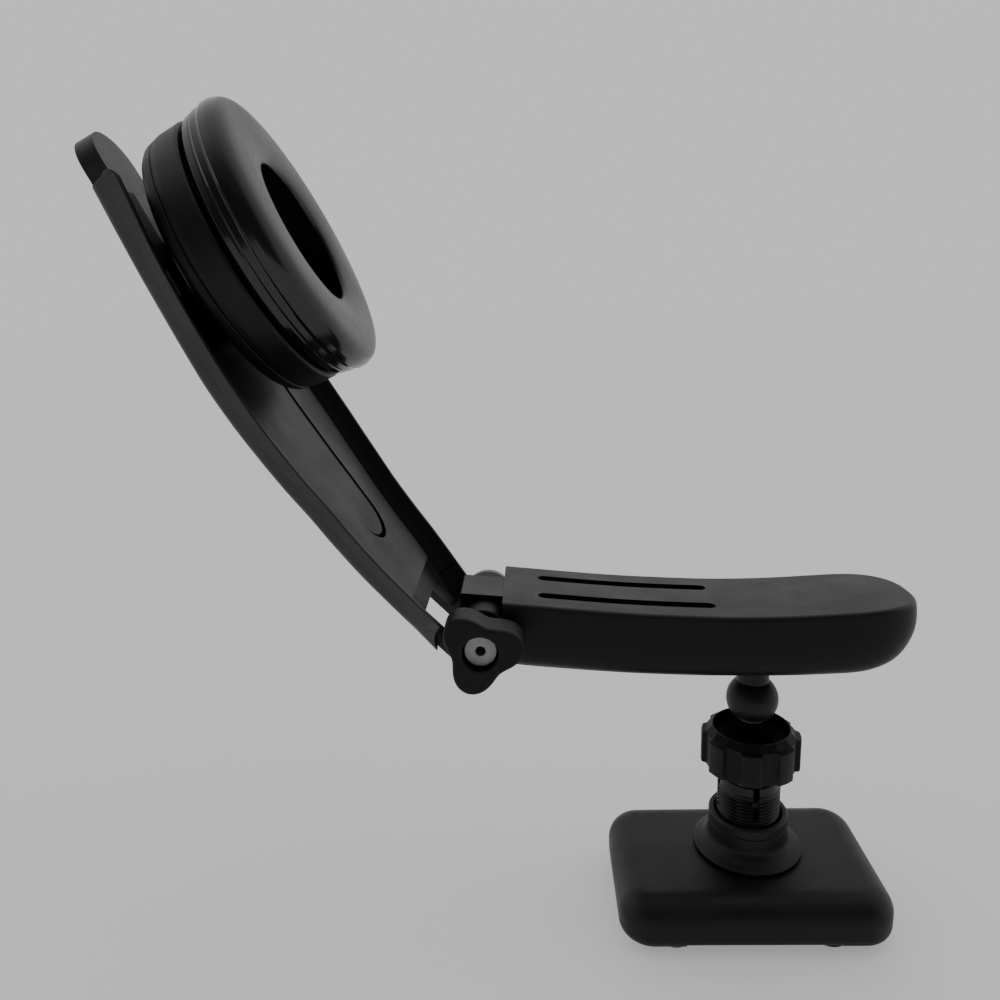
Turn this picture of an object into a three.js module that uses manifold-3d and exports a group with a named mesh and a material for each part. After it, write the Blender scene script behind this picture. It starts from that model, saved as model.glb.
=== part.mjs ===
// Articulated tool stand: weighted rounded base, ball joint drawn out of its collet, bow-shaped lower arm,
// clamped hinge with a three-lobed knob, flared channel arm and a lever-locked suction head.
// Frame: millimetres, +Z up, origin on the socket's axis at the underside of the base, +X towards the lower arm's free end.
import * as THREE from "three";
import { mergeVertices } from "three/addons/utils/BufferGeometryUtils.js";
import Module from "manifold-3d";

const wasm = await Module();
wasm.setup();

// ---- driving dimensions (mm) ----
const GAP = 0.3;                                   // between pieces that rest on each other
const BASE = { cx: -2.3, cy: -2.7, hx: 44.7, hy: 28.8, t: 17.5, edge: 8.7, corner: 11, seam: 2.9 };
const FOOT = { dx: 25.5, dy: 19.0, r: 6.0, drop: 1.6 };
const FLANGE = { r: 18.3, t: 2.4, collarR: 13.3, seamZ: 28, topZ: 32 };
const COLLET = { rootR: 10.5, tipR: 10.1, topZ: 46, bore: 8.9, seatZ: 44, seatR: 8.78, slot: 2 };
const NUT = { z0: 49.8, z1: 63.8, body: 15.0, rib: 16.4, ribs: 8, mouth: 12.4, bore: 10.9 };
const BALL = { r: 8.5, z: 74, bore: 2.6 };
const NECK_R = 5.3, STUD_R = 3.5;
const HINGE = { x: -88.5, z: 106, boltR: 3.05, boreR: 3.15, lugR: 8.7 };
const ARM_W = 18.5;                                // half width of the lower arm
const TONGUE = { w: 9.0, x: -96, top: 117.1 };
const KNOB = { back: -22, front: -32, mean: 11.1, lobe: 2.4, phase: -1 };
const HEAD = { x: -137, z: 229.2, tilt: 64.89 };   // centre of the suction face; its axis leans 64.89 degrees from vertical
const LEVER = { pinS: -42.5, half: 10.5, tip: 52, t: 6.8 };

// ---- small toolkit ----
const V = (x, y, z) => new THREE.Vector3(x, y, z);
function solid(geometry) {
  const g = geometry.index ? geometry.toNonIndexed() : geometry.clone();
  g.deleteAttribute("normal");
  g.deleteAttribute("uv");
  const m = mergeVertices(g, 1e-4), idx = m.index.array, keep = [];
  for (let i = 0; i < idx.length; i += 3)
    if (idx[i] !== idx[i + 1] && idx[i + 1] !== idx[i + 2] && idx[i] !== idx[i + 2]) keep.push(idx[i], idx[i + 1], idx[i + 2]);
  const make = (t) => new wasm.Manifold(new wasm.Mesh({ numProp: 3, vertProperties: new Float32Array(m.attributes.position.array), triVerts: new Uint32Array(t) }));
  const s = make(keep);
  if (s.volume() > 0) return s;
  for (let i = 0; i < keep.length; i += 3) [keep[i + 1], keep[i + 2]] = [keep[i + 2], keep[i + 1]];
  return make(keep);
}
function geometryOf(s) {
  const m = s.getMesh(), g = new THREE.BufferGeometry();
  g.setAttribute("position", new THREE.BufferAttribute(new Float32Array(m.vertProperties), 3));
  g.setIndex(new THREE.BufferAttribute(new Uint32Array(m.triVerts), 1));
  g.computeVertexNormals();
  return g;
}
const cut = (a, ...bs) => bs.reduce((s, b) => s.subtract(b), a);
const join = (a, ...bs) => bs.reduce((s, b) => s.add(b), a);
// round bar between two stations on an axis parallel to Z or Y
function barZ(r, z0, z1, x = 0, y = 0, n = 24) {
  const g = new THREE.CylinderGeometry(r, r, z1 - z0, n);
  g.rotateX(Math.PI / 2); g.translate(x, y, (z0 + z1) / 2);
  return solid(g);
}
function barY(r, y0, y1, x = 0, z = 0, n = 24) {
  const g = new THREE.CylinderGeometry(r, r, y1 - y0, n);
  g.translate(x, (y0 + y1) / 2, z);
  return solid(g);
}
function block(x0, x1, y0, y1, z0, z1) {
  const g = new THREE.BoxGeometry(x1 - x0, y1 - y0, z1 - z0);
  g.translate((x0 + x1) / 2, (y0 + y1) / 2, (z0 + z1) / 2);
  return solid(g);
}
// turned piece about Z: [radius, height] pairs; it closes on itself unless both ends lie on the axis
function turned(points, n = 24) {
  const p = points.map(([r, z]) => new THREE.Vector2(r, z));
  if (points[0][0] !== 0 || points[points.length - 1][0] !== 0) p.push(p[0].clone());
  const g = new THREE.LatheGeometry(p, n);
  g.rotateX(Math.PI / 2);
  return solid(g);
}
const shapeOf = (pts) => new THREE.Shape(pts.map(([x, y]) => new THREE.Vector2(x, y)));
function slabZ(pts, z0, z1) {                      // outline in XY
  const g = new THREE.ExtrudeGeometry(shapeOf(pts), { depth: z1 - z0, bevelEnabled: false });
  g.translate(0, 0, z0);
  return solid(g);
}
function slabY(pts, y0, y1) {                      // outline in XZ
  const g = new THREE.ExtrudeGeometry(shapeOf(pts), { depth: y1 - y0, bevelEnabled: false });
  g.rotateX(Math.PI / 2); g.translate(0, y1, 0);
  return solid(g);
}
// skin over a row of closed sections; each section is two equal paths, a and b, and the caps are strips between them
function loft(sections) {
  const pos = [], n = sections[0].a.length, ring = 2 * n;
  const at = (i, j) => (j < n ? sections[i].a[j] : sections[i].b[ring - 1 - j]);
  const tri = (p, q, r) => { for (const v of [p, q, r]) pos.push(v.x, v.y, v.z); };
  for (let i = 0; i + 1 < sections.length; i++)
    for (let j = 0; j < ring; j++) {
      const k = (j + 1) % ring;
      tri(at(i, j), at(i + 1, j), at(i + 1, k));
      tri(at(i, j), at(i + 1, k), at(i, k));
    }
  for (const [i, flip] of [[0, false], [sections.length - 1, true]])
    for (let j = 0; j + 1 < n; j++) {
      const a0 = sections[i].a[j], a1 = sections[i].a[j + 1], b0 = sections[i].b[j], b1 = sections[i].b[j + 1];
      if (flip) { tri(a0, b0, b1); tri(a0, b1, a1); } else { tri(a0, b1, b0); tri(a0, a1, b1); }
    }
  const g = new THREE.BufferGeometry();
  g.setAttribute("position", new THREE.BufferAttribute(new Float32Array(pos), 3));
  return solid(g);
}
function table(rows) {                             // smooth look-up through rows of [x, value]
  return (x) => {
    if (x <= rows[0][0]) return rows[0][1];
    for (let i = 0; i + 1 < rows.length; i++)
      if (x <= rows[i + 1][0]) {
        const [x0, y0] = rows[i], [x1, y1] = rows[i + 1], t = (x - x0) / (x1 - x0), h = x1 - x0;
        const m0 = i > 0 ? (y1 - rows[i - 1][1]) / (x1 - rows[i - 1][0]) : (y1 - y0) / h;
        const m1 = i + 2 < rows.length ? (rows[i + 2][1] - y0) / (rows[i + 2][0] - x0) : (y1 - y0) / h;
        const a = t * t * t, b = t * t;
        return (2 * a - 3 * b + 1) * y0 + (a - 2 * b + t) * h * m0 + (3 * b - 2 * a) * y1 + (a - b) * h * m1;
      }
    return rows[rows.length - 1][1];
  };
}
// rounded rectangle as two mirrored paths, left to right
function roundedPaths(hx, hy, r, z, cx, cy, n = 7) {
  const a = [];
  for (let i = 0; i <= n; i++) { const t = Math.PI - (i / n) * (Math.PI / 2); a.push([-hx + r + r * Math.cos(t), hy - r + r * Math.sin(t)]); }
  for (let i = 0; i <= n; i++) { const t = Math.PI / 2 - (i / n) * (Math.PI / 2); a.push([hx - r + r * Math.cos(t), hy - r + r * Math.sin(t)]); }
  return { a: a.map(([x, y]) => V(cx + x, cy + y, z)), b: a.map(([x, y]) => V(cx + x, cy - y, z)) };
}
const roundedBlock = (hx, hy, r, z0, z1, cx, cy) => loft([roundedPaths(hx, hy, r, z0, cx, cy, 4), roundedPaths(hx, hy, r, z1, cx, cy, 4)]);

// ---- materials ----
const paint = (hex, roughness, metalness = 0) => new THREE.MeshStandardMaterial({ color: hex, roughness, metalness });
const shell = paint(0x17181a, 0.52), satin = paint(0x1b1c1e, 0.42), gloss = paint(0x0c0d0e, 0.12), rubber = paint(0x0e0f10, 0.75);
const darkSteel = paint(0x3a3c40, 0.4, 0.9), steel = paint(0xa9abad, 0.35, 1), iron = paint(0x505358, 0.6, 0.8);
const root = new THREE.Group();
function add(group, name, s, material) {
  const m = new THREE.Mesh(geometryOf(s), material);
  m.name = name;
  group.add(m);
  return m;
}

// ================= base =================
const base = new THREE.Group();
root.add(base);
const BASE_LOW = 5;                                // radius of the lower edge
const insetAt = (z) => {
  const r = z < BASE_LOW ? BASE_LOW : BASE.edge, from = z < BASE_LOW ? BASE_LOW : Math.max(z, BASE.t - BASE.edge);
  return z < BASE_LOW ? r - Math.sqrt(Math.max(0, r * r - (z - from) ** 2)) : r - Math.sqrt(Math.max(0, r * r - (from - (BASE.t - r)) ** 2));
};
const baseSection = (z) => {
  const d = insetAt(Math.min(z, BASE.t - 1e-6));
  return roundedPaths(BASE.hx - d, BASE.hy - d, Math.max(BASE.corner - d, 2.3), z, BASE.cx, BASE.cy, 5);
};
const bossXY = [[-35.5, -13], [35.5, -13], [-35.5, 13], [35.5, 13]].map(([x, y]) => [BASE.cx + x, BASE.cy + y]);
{
  const zs = [BASE.seam + 0.2, 4, 5, 8.8, 12, 14.4, 16.2, 17.1, BASE.t];
  let s = loft(zs.map(baseSection));
  s = cut(s, roundedBlock(40, 24.1, 7, 0, 15.3, BASE.cx, BASE.cy));
  for (const [x, y] of bossXY) s = cut(join(s, barZ(3.2, BASE.seam + 0.6, 15.8, x, y, 12)), barZ(1.3, 0, 11, x, y, 8));
  s = cut(s, barZ(3.3, 10, 20));
  add(base, "base_shell", s, shell);

  let p = loft([0, 0.5, 1.3, 2.1, BASE.seam - 0.1].map(baseSection));
  for (const [x, y] of bossXY) p = cut(p, barZ(1.75, -1, 5, x, y, 12), barZ(3.1, -1, 1.3, x, y, 12));
  for (const sx of [-1, 1]) for (const sy of [-1, 1]) p = cut(p, barZ(FOOT.r + GAP, -1, 1.5, BASE.cx + sx * FOOT.dx - 0.9, BASE.cy + sy * FOOT.dy, 20));
  add(base, "base_plate", p, shell);

  let b = roundedBlock(39.6, 23.7, 6.7, BASE.seam + GAP, 15.0, BASE.cx, BASE.cy);
  for (const [x, y] of bossXY) b = cut(b, barZ(3.7, 0, 20, x, y, 12));
  b = cut(b, barZ(5.8, 0, 20, 0, 0, 32));
  add(base, "base_ballast", b, iron);

  [["front_left", -1, -1], ["front_right", 1, -1], ["rear_left", -1, 1], ["rear_right", 1, 1]].forEach(([n, sx, sy]) => {
    const foot = turned([[0, 1.2], [FOOT.r, 1.2], [FOOT.r, -0.9], [FOOT.r - 0.6, -FOOT.drop], [0, -FOOT.drop]], 20);
    const m = add(base, "foot_" + n, foot, rubber);
    m.position.set(BASE.cx + sx * FOOT.dx - 0.9, BASE.cy + sy * FOOT.dy, 0);
  });
  bossXY.forEach(([x, y], i) => {
    const m = add(base, "plate_screw_" + (i + 1), turned([[0, 0.2], [2.7, 0.2], [2.7, 1.0], [0.95, 1.0], [0.95, 8.5], [0, 9]], 12), darkSteel);
    m.position.set(x, y, 0);
  });
}

// ================= socket =================
const socket = new THREE.Group();
root.add(socket);
{
  const z0 = BASE.t + GAP, z1 = z0 + FLANGE.t;
  add(socket, "socket_flange", turned([[3.3, z0], [FLANGE.r - 0.4, z0], [FLANGE.r, z0 + 0.5], [FLANGE.r, z0 + 1.0], [FLANGE.r - 1.2, z0 + 1.6], [FLANGE.collarR + 1.2, z1 - 0.3], [FLANGE.collarR, z1 + 0.9], [FLANGE.collarR, FLANGE.seamZ], [3.3, FLANGE.seamZ]]), shell);
  add(socket, "socket_collar", turned([[11.2, FLANGE.seamZ + GAP], [FLANGE.collarR, FLANGE.seamZ + GAP], [FLANGE.collarR, FLANGE.topZ - 0.8], [FLANGE.collarR - 0.7, FLANGE.topZ], [11.8, FLANGE.topZ], [11.2, FLANGE.topZ - 0.6]]), shell);
  const c = COLLET, floor = FLANGE.seamZ + GAP, seat = [];
  for (let i = 0; i <= 6; i++) { const t = (i / 6) * 1.12; seat.push([c.seatR * Math.cos(t), c.seatZ - c.seatR * Math.sin(t)]); }
  const last = seat[seat.length - 1];
  let s = turned([[3.3, floor], [10.9, floor], [10.9, floor + 1.6], [c.rootR, floor + 2.2], [c.rootR, 41], [c.tipR, c.topZ - 0.6], [c.tipR - 0.6, c.topZ], [c.bore, c.topZ], ...seat, [3.3, last[1] - 0.4]]);
  for (const a of [0, Math.PI / 2]) {
    const g = new THREE.BoxGeometry(2 * 14, c.slot, 20);
    g.rotateZ(a - Math.PI / 2); g.translate(0, 0, 33.5 + 10);
    s = cut(s, solid(g));
  }
  add(socket, "collet", s, satin);
  add(socket, "socket_bolt", turned([[0, 10.2], [5.2, 10.2], [5.2, 15.0], [2.95, 15.0], [2.95, 32.6], [2.4, 33.2], [0, 33.2]], 20), steel);
}

// ================= locking nut =================
{
  const n = NUT, z = n.z0, outline = [];
  for (let i = 0; i < n.ribs; i++) {
    const c = ((-12.7 - 90) * Math.PI) / 180 + (i * 2 * Math.PI) / n.ribs, h = 0.2, k = 0.235;
    for (const [r, d] of [[n.body, -k], [n.rib, -h], [n.rib, h], [n.body, k]]) outline.push([r * Math.cos(c + d), r * Math.sin(c + d)]);
  }
  let s = slabZ(outline, z, n.z1 - 3.2);
  s = join(s, turned([[0, z + 1], [n.body - 0.4, z + 1], [n.body - 0.4, n.z1 - 2.8], [12.9, n.z1], [0, n.z1]], 24));
  s = cut(s, barZ(n.bore, z - 1, n.z1 + 1, 0, 0, 32), barZ(n.mouth, 54, n.z1 + 1, 0, 0, 32));
  add(root, "lock_nut", s, satin);
  add(root, "nut_liner", turned([[11.0, 54.3], [12.08, 54.3], [12.08, 60], [11.0, 60]], 32), rubber);
}

// ================= ball stud =================
{
  const ball = new THREE.SphereGeometry(BALL.r, 24, 12);
  ball.rotateX(Math.PI / 2);
  const m = add(root, "ball", cut(solid(ball), barZ(BALL.bore, -20, 20, 0, 0, 24)), satin);
  m.position.set(0, 0, BALL.z);
  const p = add(root, "ball_core", barZ(2.3, -7.4, 6.9, 0, 0, 20), steel);
  p.position.set(0, 0, BALL.z);
  const prof = [], rr = BALL.r + GAP;
  for (let i = 0; i <= 5; i++) { const r = (i / 5) * NECK_R; prof.push([r, Math.sqrt(rr * rr - r * r)]); }
  prof.push([NECK_R, 18.2], [STUD_R, 18.2], [STUD_R, 31.6], [STUD_R - 0.5, 32.1], [0, 32.1]);
  const st = add(root, "ball_stud", turned(prof, 24), satin);
  st.position.set(0, 0, BALL.z);
  const hex = [];
  for (let i = 0; i < 6; i++) hex.push([6.2 * Math.cos(i * Math.PI / 3), 6.2 * Math.sin(i * Math.PI / 3)]);
  const nut = add(root, "stud_nut", cut(slabZ(hex, 28.5, 31.5), barZ(STUD_R + GAP, 20, 40, 0, 0, 32)), steel);
  nut.position.set(0, 0, BALL.z);
}

// ================= lower arm =================
const lower = new THREE.Group();
root.add(lower);
const topZ = table([[-97, 118.4], [-82, 116.8], [-62, 114.5], [-45, 112.7], [-27, 111.3], [-10, 110.4], [7, 110.3], [25, 110.9], [38, 111.5], [48, 111.4], [51.5, 111.2]]);
const bottomZ = table([[-97, 95.3], [-82, 94.3], [-75, 93.3], [-60, 91.7], [-45, 90.3], [-30, 89.3], [-15, 88.6], [7, 88.2], [22, 88.5], [29, 88.8], [33, 89.2], [38.5, 90.1], [45, 91.7], [51.5, 94]]);
{
  const levels = [[0, 6.2, 39.5], [0.04, 4.2, 42.2], [0.11, 2.2, 44.6], [0.22, 0.9, 46.6], [0.4, 0.2, 48.4], [0.62, 0, 49.3], [0.85, 0, 49], [1, 0.9, 47.6]];
  const xs = [-82, -72, -60, -45, -30, -15, 0, 12];
  const sections = levels.map(([v, inset, tip]) => {
    const w = ARM_W - inset, x0 = 22, path = xs.map((x) => [x, w]);
    for (let i = 0; i <= 9; i++) {
      const t = (i / 9) * Math.PI / 2 * 0.985, e = 2 / 2.7;
      path.push([x0 + (tip - x0) * Math.sin(t) ** e, w * Math.cos(t) ** e]);
    }
    const z = (x) => bottomZ(x) + (topZ(x) - bottomZ(x)) * v;
    return { a: path.map(([x, y]) => V(x, y, z(x))), b: path.map(([x, y]) => V(x, -y, z(x))) };
  });
  let s = loft(sections);
  // tongue that carries the hinge
  s = join(s, slabY([[-79, 115.3], [-82, 115.7], [-90, 116.5], [TONGUE.x, TONGUE.top], [TONGUE.x, 112], [-95.6, 108], [-94.2, 101.2], [-91.6, 98], [-86, 96.2], [-79, 95.6]], -TONGUE.w, TONGUE.w));
  // knuckle seats beside the tongue
  for (const [y0, y1] of [[-30, -TONGUE.w], [TONGUE.w, 30]]) s = cut(s, barY(HINGE.lugR + 0.6, y0, y1, HINGE.x, HINGE.z, 32));
  s = cut(s, barY(5.3, -30, 30, HINGE.x, HINGE.z, 32));
  // hollow, open below
  const under = (xa, xb, dz, lift) => { const p = []; for (let i = 0; i <= 6; i++) { const x = xa + ((xb - xa) * i) / 6; p.push([x, topZ(x) - dz]); } for (let i = 6; i >= 0; i--) { const x = xa + ((xb - xa) * i) / 6; p.push([x, bottomZ(x) + lift]); } return p; };
  s = cut(s, slabY(under(-74, 33, 2.6, 5.2), -16.1, 16.1), slabY(under(-70, 30, 5, -6), -11.2, 11.2));
  // boss and web for the stud
  s = join(s, barZ(8, 92.5, 102.2, 0, 0, 32), block(-1.3, 1.3, -16.6, 16.6, 95.5, 102.2));
  s = cut(s, barZ(STUD_R + 0.1, 80, 103, 0, 0, 48));
  for (const x of [-52, 22]) s = cut(join(s, barZ(3.1, bottomZ(x) + 2.5, topZ(x) - 1.6, x, 0, 16)), barZ(1.3, 80, 104, x, 0, 12));
  // slots through the top
  for (const y of [-8.15, 8.15]) {
    const p = [];
    for (let i = 0; i <= 5; i++) { const t = Math.PI / 2 + (i / 5) * Math.PI; p.push([-68.7 + 2.2 * Math.cos(t), y + 2.2 * Math.sin(t)]); }
    for (let i = 0; i <= 5; i++) { const t = -Math.PI / 2 + (i / 5) * Math.PI; p.push([-17 + 2.2 * Math.cos(t), y + 2.2 * Math.sin(t)]); }
    s = cut(s, slabZ(p, 105.5, 120));
  }
  add(lower, "lower_arm", s, shell);

  let c = slabY(under(-69.6, 29.6, 5, -6), -10.9, 10.9);
  const band = []; for (let i = 0; i <= 12; i++) { const x = -72 + i * 8.6; band.push([x, bottomZ(x) + 2.1]); } for (let i = 12; i >= 0; i--) { const x = -72 + i * 8.6; band.push([x, bottomZ(x) + 0.1]); }
  c = c.intersect(slabY(band, -14, 14));
  c = cut(c, barZ(NECK_R + 0.5, 80, 100, 0, 0, 24));
  for (const x of [-52, 22]) c = cut(c, barZ(1.7, 80, 100, x, 0, 16), barZ(3.0, 80, bottomZ(x) + 1.1, x, 0, 20));
  add(lower, "lower_arm_cover", c, shell);
  [-52, 22].forEach((x, i) => {
    const z = bottomZ(x), m = add(lower, "arm_screw_" + (i + 1), turned([[0, 0.15], [2.6, 0.15], [2.6, 0.8], [0.95, 0.8], [0.95, 8], [0, 8.4]], 12), darkSteel);
    m.position.set(x, 0, z);
  });
}

// ================= hinge =================
const hinge = new THREE.Group();
hinge.position.set(HINGE.x, 0, HINGE.z);
root.add(hinge);
const spun = (pts, n = 28) => { const p = pts.map(([r, y]) => new THREE.Vector2(r, y)); if (pts[0][0] !== 0 || pts[pts.length - 1][0] !== 0) p.push(p[0].clone()); return solid(new THREE.LatheGeometry(p, n)); };
add(hinge, "hinge_bushing", spun([[HINGE.boreR, -9], [5.0, -9], [5.0, 9], [HINGE.boreR, 9]], 32), steel);
add(hinge, "hinge_bolt", spun([[0, -27], [2.6, -27], [HINGE.boltR, -26.5], [HINGE.boltR, 19.8], [8, 19.8], [8, 22.3], [7.4, 23], [0, 23]], 28), steel);
add(hinge, "washer_far", spun([[3.4, 18.7], [7, 18.7], [7, 19.5], [3.4, 19.5]], 32), steel);
add(hinge, "washer_near", spun([[3.4, -19.6], [6.6, -19.6], [6.6, -18.7], [3.4, -18.7]], 32), darkSteel);
{
  const outline = [];
  for (let i = 0; i < 36; i++) { const t = (i / 36) * 2 * Math.PI, r = KNOB.mean + KNOB.lobe * Math.cos(3 * (t - (KNOB.phase * Math.PI) / 180)); outline.push([(r - 0.7) * Math.cos(t), (r - 0.7) * Math.sin(t)]); }
  const g = new THREE.ExtrudeGeometry(shapeOf(outline), { depth: KNOB.back - KNOB.front - 1.4, bevelEnabled: true, bevelThickness: 0.7, bevelSize: 0.7, bevelSegments: 1 });
  g.rotateX(Math.PI / 2); g.translate(0, KNOB.back - 0.7, 0);
  let s = join(solid(g), barY(7, -22.6, -19.9, 0, 0, 32));
  s = cut(s, barY(5.5, -40, -10, 0, 0, 28));
  add(hinge, "hinge_knob", s, satin);
  add(hinge, "knob_insert", spun([[3.35, -22.5], [3.35, -27.5], [1.35, -27.5], [1.35, -29], [4.9, -29], [5.15, -28.6], [5.15, -22.5]], 24), steel);
}

// ================= upper arm and head: X' runs down the arm, Y' across, Z' along the suction face's axis =================
const head = new THREE.Group();
head.position.set(HEAD.x, 0, HEAD.z);
head.rotation.y = (HEAD.tilt * Math.PI) / 180;
root.add(head);
const HS = -8.4, HU = -132.1;                      // hinge axis: along the face's axis, along the arm
const rimHalf = table([[-119, 30.2], [-113, 32], [-105, 34], [-95, 35.8], [-83, 37.5], [-73, 39], [-63, 41], [-53, 42.5], [-40, 43.4], [-25, 43.6], [0, 42.9], [15, 41.9], [29, 40.4]]);
const rimS = table([[-119, -15.1], [-113, -16.3], [-105, -17.9], [-95, -20], [-83, -22.1], [-73, -23.4], [-63, -24.8], [-53, -26], [-40, -27.4], [-25, -28.3], [-10, -28.5], [5, -28.3], [18, -27.5], [29, -26.9]]);
const floorS = table([[-119, -22.5], [-113, -23.6], [-105, -25.1], [-95, -27.1], [-83, -29.1], [-73, -30.4], [-63, -31.8], [-53, -33], [-40, -34.5], [-25, -35.5], [29, -35.5]]);
{
  const us = [-119, -113, -105, -95, -84, -73, -63, -52, -40, -25, -8, 10, 20, 29];
  const sections = us.map((u) => {
    const yr = rimHalf(u), sr = rimS(u), sf = floorS(u), yf = yr - 6.7, d = sr - sf;
    const out = [[0, sf - 2], [yf * 0.6, sf - 2], [yf - 1.6, sf - 1.8], [yf + 1.4, sf - 0.4], [yf + 4.2, sf + d * 0.45], [yr, sr - 0.7], [yr - 0.5, sr]];
    const inn = [[0, sf], [yf * 0.6, sf], [yf - 3, sf], [yf - 0.5, sf + 0.8], [yf + 2.1, sf + d * 0.5], [yr - 2.1, sr - 0.7], [yr - 1.7, sr]];
    const full = (h) => [...h.slice().reverse().map(([y, s]) => V(-u, -y, s)), ...h.slice(1).map(([y, s]) => V(-u, y, s))];
    return { a: full(out), b: full(inn) };
  });
  let s = loft(sections);
  // far flank, carried on past the channel's end
  s = join(s, loft([-118.5, -125.5].map((u) => {
    const e = -119 - u, yr = 30.2 - 0.3 * e, sr = -15.1 + 0.2 * e, sf = -22.5 + 0.18 * e, yf = yr - 6.7, m = sr - sf;
    const out = [[18.8, sf - 2], [yf - 1.6, sf - 1.8], [yf + 1.4, sf - 0.4], [yf + 4.2, sf + m * 0.45], [yr, sr - 0.7], [yr - 0.5, sr]];
    const inn = [[18.8, sf], [yf - 3, sf], [yf - 0.5, sf + 0.8], [yf + 2.1, sf + m * 0.5], [yr - 2.1, sr - 0.7], [yr - 1.7, sr]];
    return { a: out.map(([y, h]) => V(-u, y, h)), b: inn.map(([y, h]) => V(-u, y, h)) };
  })));
  // prongs with the hinge lugs
  const d = [0.3155, -0.949], nrm = [-0.949, -0.3155];   // along the root plate towards the hinge, and out of its back
  const P0 = [-22.6, -119.5], foot = [P0[0] + 16.4 * d[0], P0[1] + 16.4 * d[1]];
  const pt = (o, a, b = 0) => [-(o[1] + a * d[1] + b * nrm[1]), o[0] + a * d[0] + b * nrm[0]];
  const plate = [pt(P0, -5.5), pt(foot, 3.6), pt(foot, 3.6, 2.5), pt(P0, -5.5, 2.5)];
  const axis = [HS, HU], web = [pt(axis, -6.5, 0), pt(axis, 6.0, 0), pt(foot, 3.6, 0.4), pt(foot, -8, 0.4)];
  for (const [y0, y1] of [[-18.4, -9.3], [9.3, 18.4]]) {
    const lug = join(slabY(plate, y0, y1), slabY(web, y0, y1), barY(HINGE.lugR, y0, y1, -HU, HS, 28));
    s = join(s, lug);
  }
  s = cut(s, barY(HINGE.boreR, -30, 30, -HU, HS, 24));
  // windows beside the flanks, notch for the lever's tongue, hole for the stem and its screws
  for (const k of [-1, 1]) s = cut(s, block(-5.5, 2.5, k > 0 ? 21 : -33.5, k > 0 ? 33.5 : -21, -45, -30.5));
  s = cut(s, block(-40, -14, -13.2, 13.2, -45, -30), barZ(3.9, -45, -30));
  for (const [u, y] of [[0, -14], [0, 14], [-13.5, 0]]) s = cut(s, barZ(1.7, -45, -30, -u, y, 16));
  add(head, "upper_arm", s, shell);

  const strip = (u0, u1, n, half, lo, hi) => loft(Array.from({ length: n + 1 }, (_, i) => {
    const u = u0 + ((u1 - u0) * i) / n, w = half(u, i / n), sf = floorS(u);
    return { a: [V(-u, -w, sf + lo), V(-u, w, sf + lo)], b: [V(-u, -w, sf + hi), V(-u, w, sf + hi)] };
  }));
  add(head, "arm_floor_cover", cut(strip(-111, -40, 9, (u) => rimHalf(u) - 10.9, 0.35, 2.4), strip(-93.4, -39, 12, (u, t) => 10.85 * Math.sqrt(Math.max(0.06, 1 - Math.max(0, 1 - t * 5) ** 2)), -1, 5)), satin);
  add(head, "arm_floor_trim", strip(-93, -40, 12, (u, t) => 10.5 * Math.sqrt(Math.max(0.06, 1 - Math.max(0, 1 - t * 5) ** 2)), 0.35, 1.1), shell);
  [[0, -14], [0, 14], [-13.5, 0]].forEach(([u, y], i) => {
    const m = add(head, "head_screw_" + (i + 1), turned([[0, -39.6], [2.7, -39.6], [2.7, -37.8], [1.35, -37.8], [1.35, -31.4], [0, -31]], 12), darkSteel);
    m.position.set(-u, y, 0);
  });

  let back = turned([[3.7, -35.15], [17.5, -35.15], [17.5, -27.8], [35.5, -27.2], [38.6, -26.2], [39.9, -24.5], [40.3, -22.5], [38.7, -22.5], [38.2, -24.1], [35.4, -25.4], [17, -26.2], [10, -26.2], [10, -33.6], [3.7, -33.6]]);
  for (const [u, y] of [[0, -14], [0, 14], [-13.5, 0]]) back = cut(back, barZ(1.65, -40, -30.5, -u, y, 16));
  add(head, "head_back_cover", back, satin);
  add(head, "head_housing", turned([[3.7, -22.2], [40.3, -22.2], [40.8, -20], [41, -13.2], [39.0, -13.2], [39.3, -20.8], [23.8, -20.8], [23.4, -12.95], [21.8, -12.95], [21.8, -20.8], [3.7, -20.8]]), satin);
  const cup = turned([[21.4, -12.6], [21.4, -0.9], [21.9, -0.2], [23.4, 0.4], [26, 0.9], [30, 1.2], [35, 1], [39, 0.3], [41.2, -0.9], [42.3, -2.8], [42.4, -5.6], [41.8, -6.3], [41.9, -8.2], [41.3, -11.2], [39.4, -11.8], [39.4, -12.8], [37.8, -12.8], [39.3, -5], [38.4, -2], [35.5, -0.9], [30, -0.6], [25.8, -1], [23.2, -2.6], [23.0, -12.6]], 32);
  const tab = new THREE.BoxGeometry(3.2, 7, 1.6);
  tab.translate(42.8, 0, -2.6); tab.rotateZ((116 * Math.PI) / 180);
  add(head, "suction_cup", join(cup, solid(tab)), gloss);
  add(head, "pressure_disc", turned([[0, -14], [20.4, -14], [20.4, -12.4], [19.6, -11.6], [6, -11.6], [4, -10.4], [0, -10.4]], 32), satin);
  let stem = barZ(3.2, -45.4, -14.3, 0, 0, 28);
  stem = cut(stem, barY(1.9, -9, 9, 0, LEVER.pinS, 24));
  add(head, "pull_stem", stem, steel);
  const pin = new THREE.CylinderGeometry(1.6, 1.6, 20.4, 24);
  const pm = add(head, "lever_pin", solid(pin), steel);
  pm.position.set(0, 0, LEVER.pinS);

  class Coil extends THREE.Curve { getPoint(t, o = new THREE.Vector3()) { const a = t * 2 * Math.PI * 3.5; return o.set(6.2 * Math.cos(a), 6.2 * Math.sin(a), -19 + 4 * t); } }
  const section = new THREE.Shape(); section.absarc(0, 0, 0.45, 0, 2 * Math.PI);
  add(head, "return_spring", solid(new THREE.ExtrudeGeometry(section, { extrudePath: new Coil(), steps: 36, curveSegments: 3 })), steel);

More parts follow.
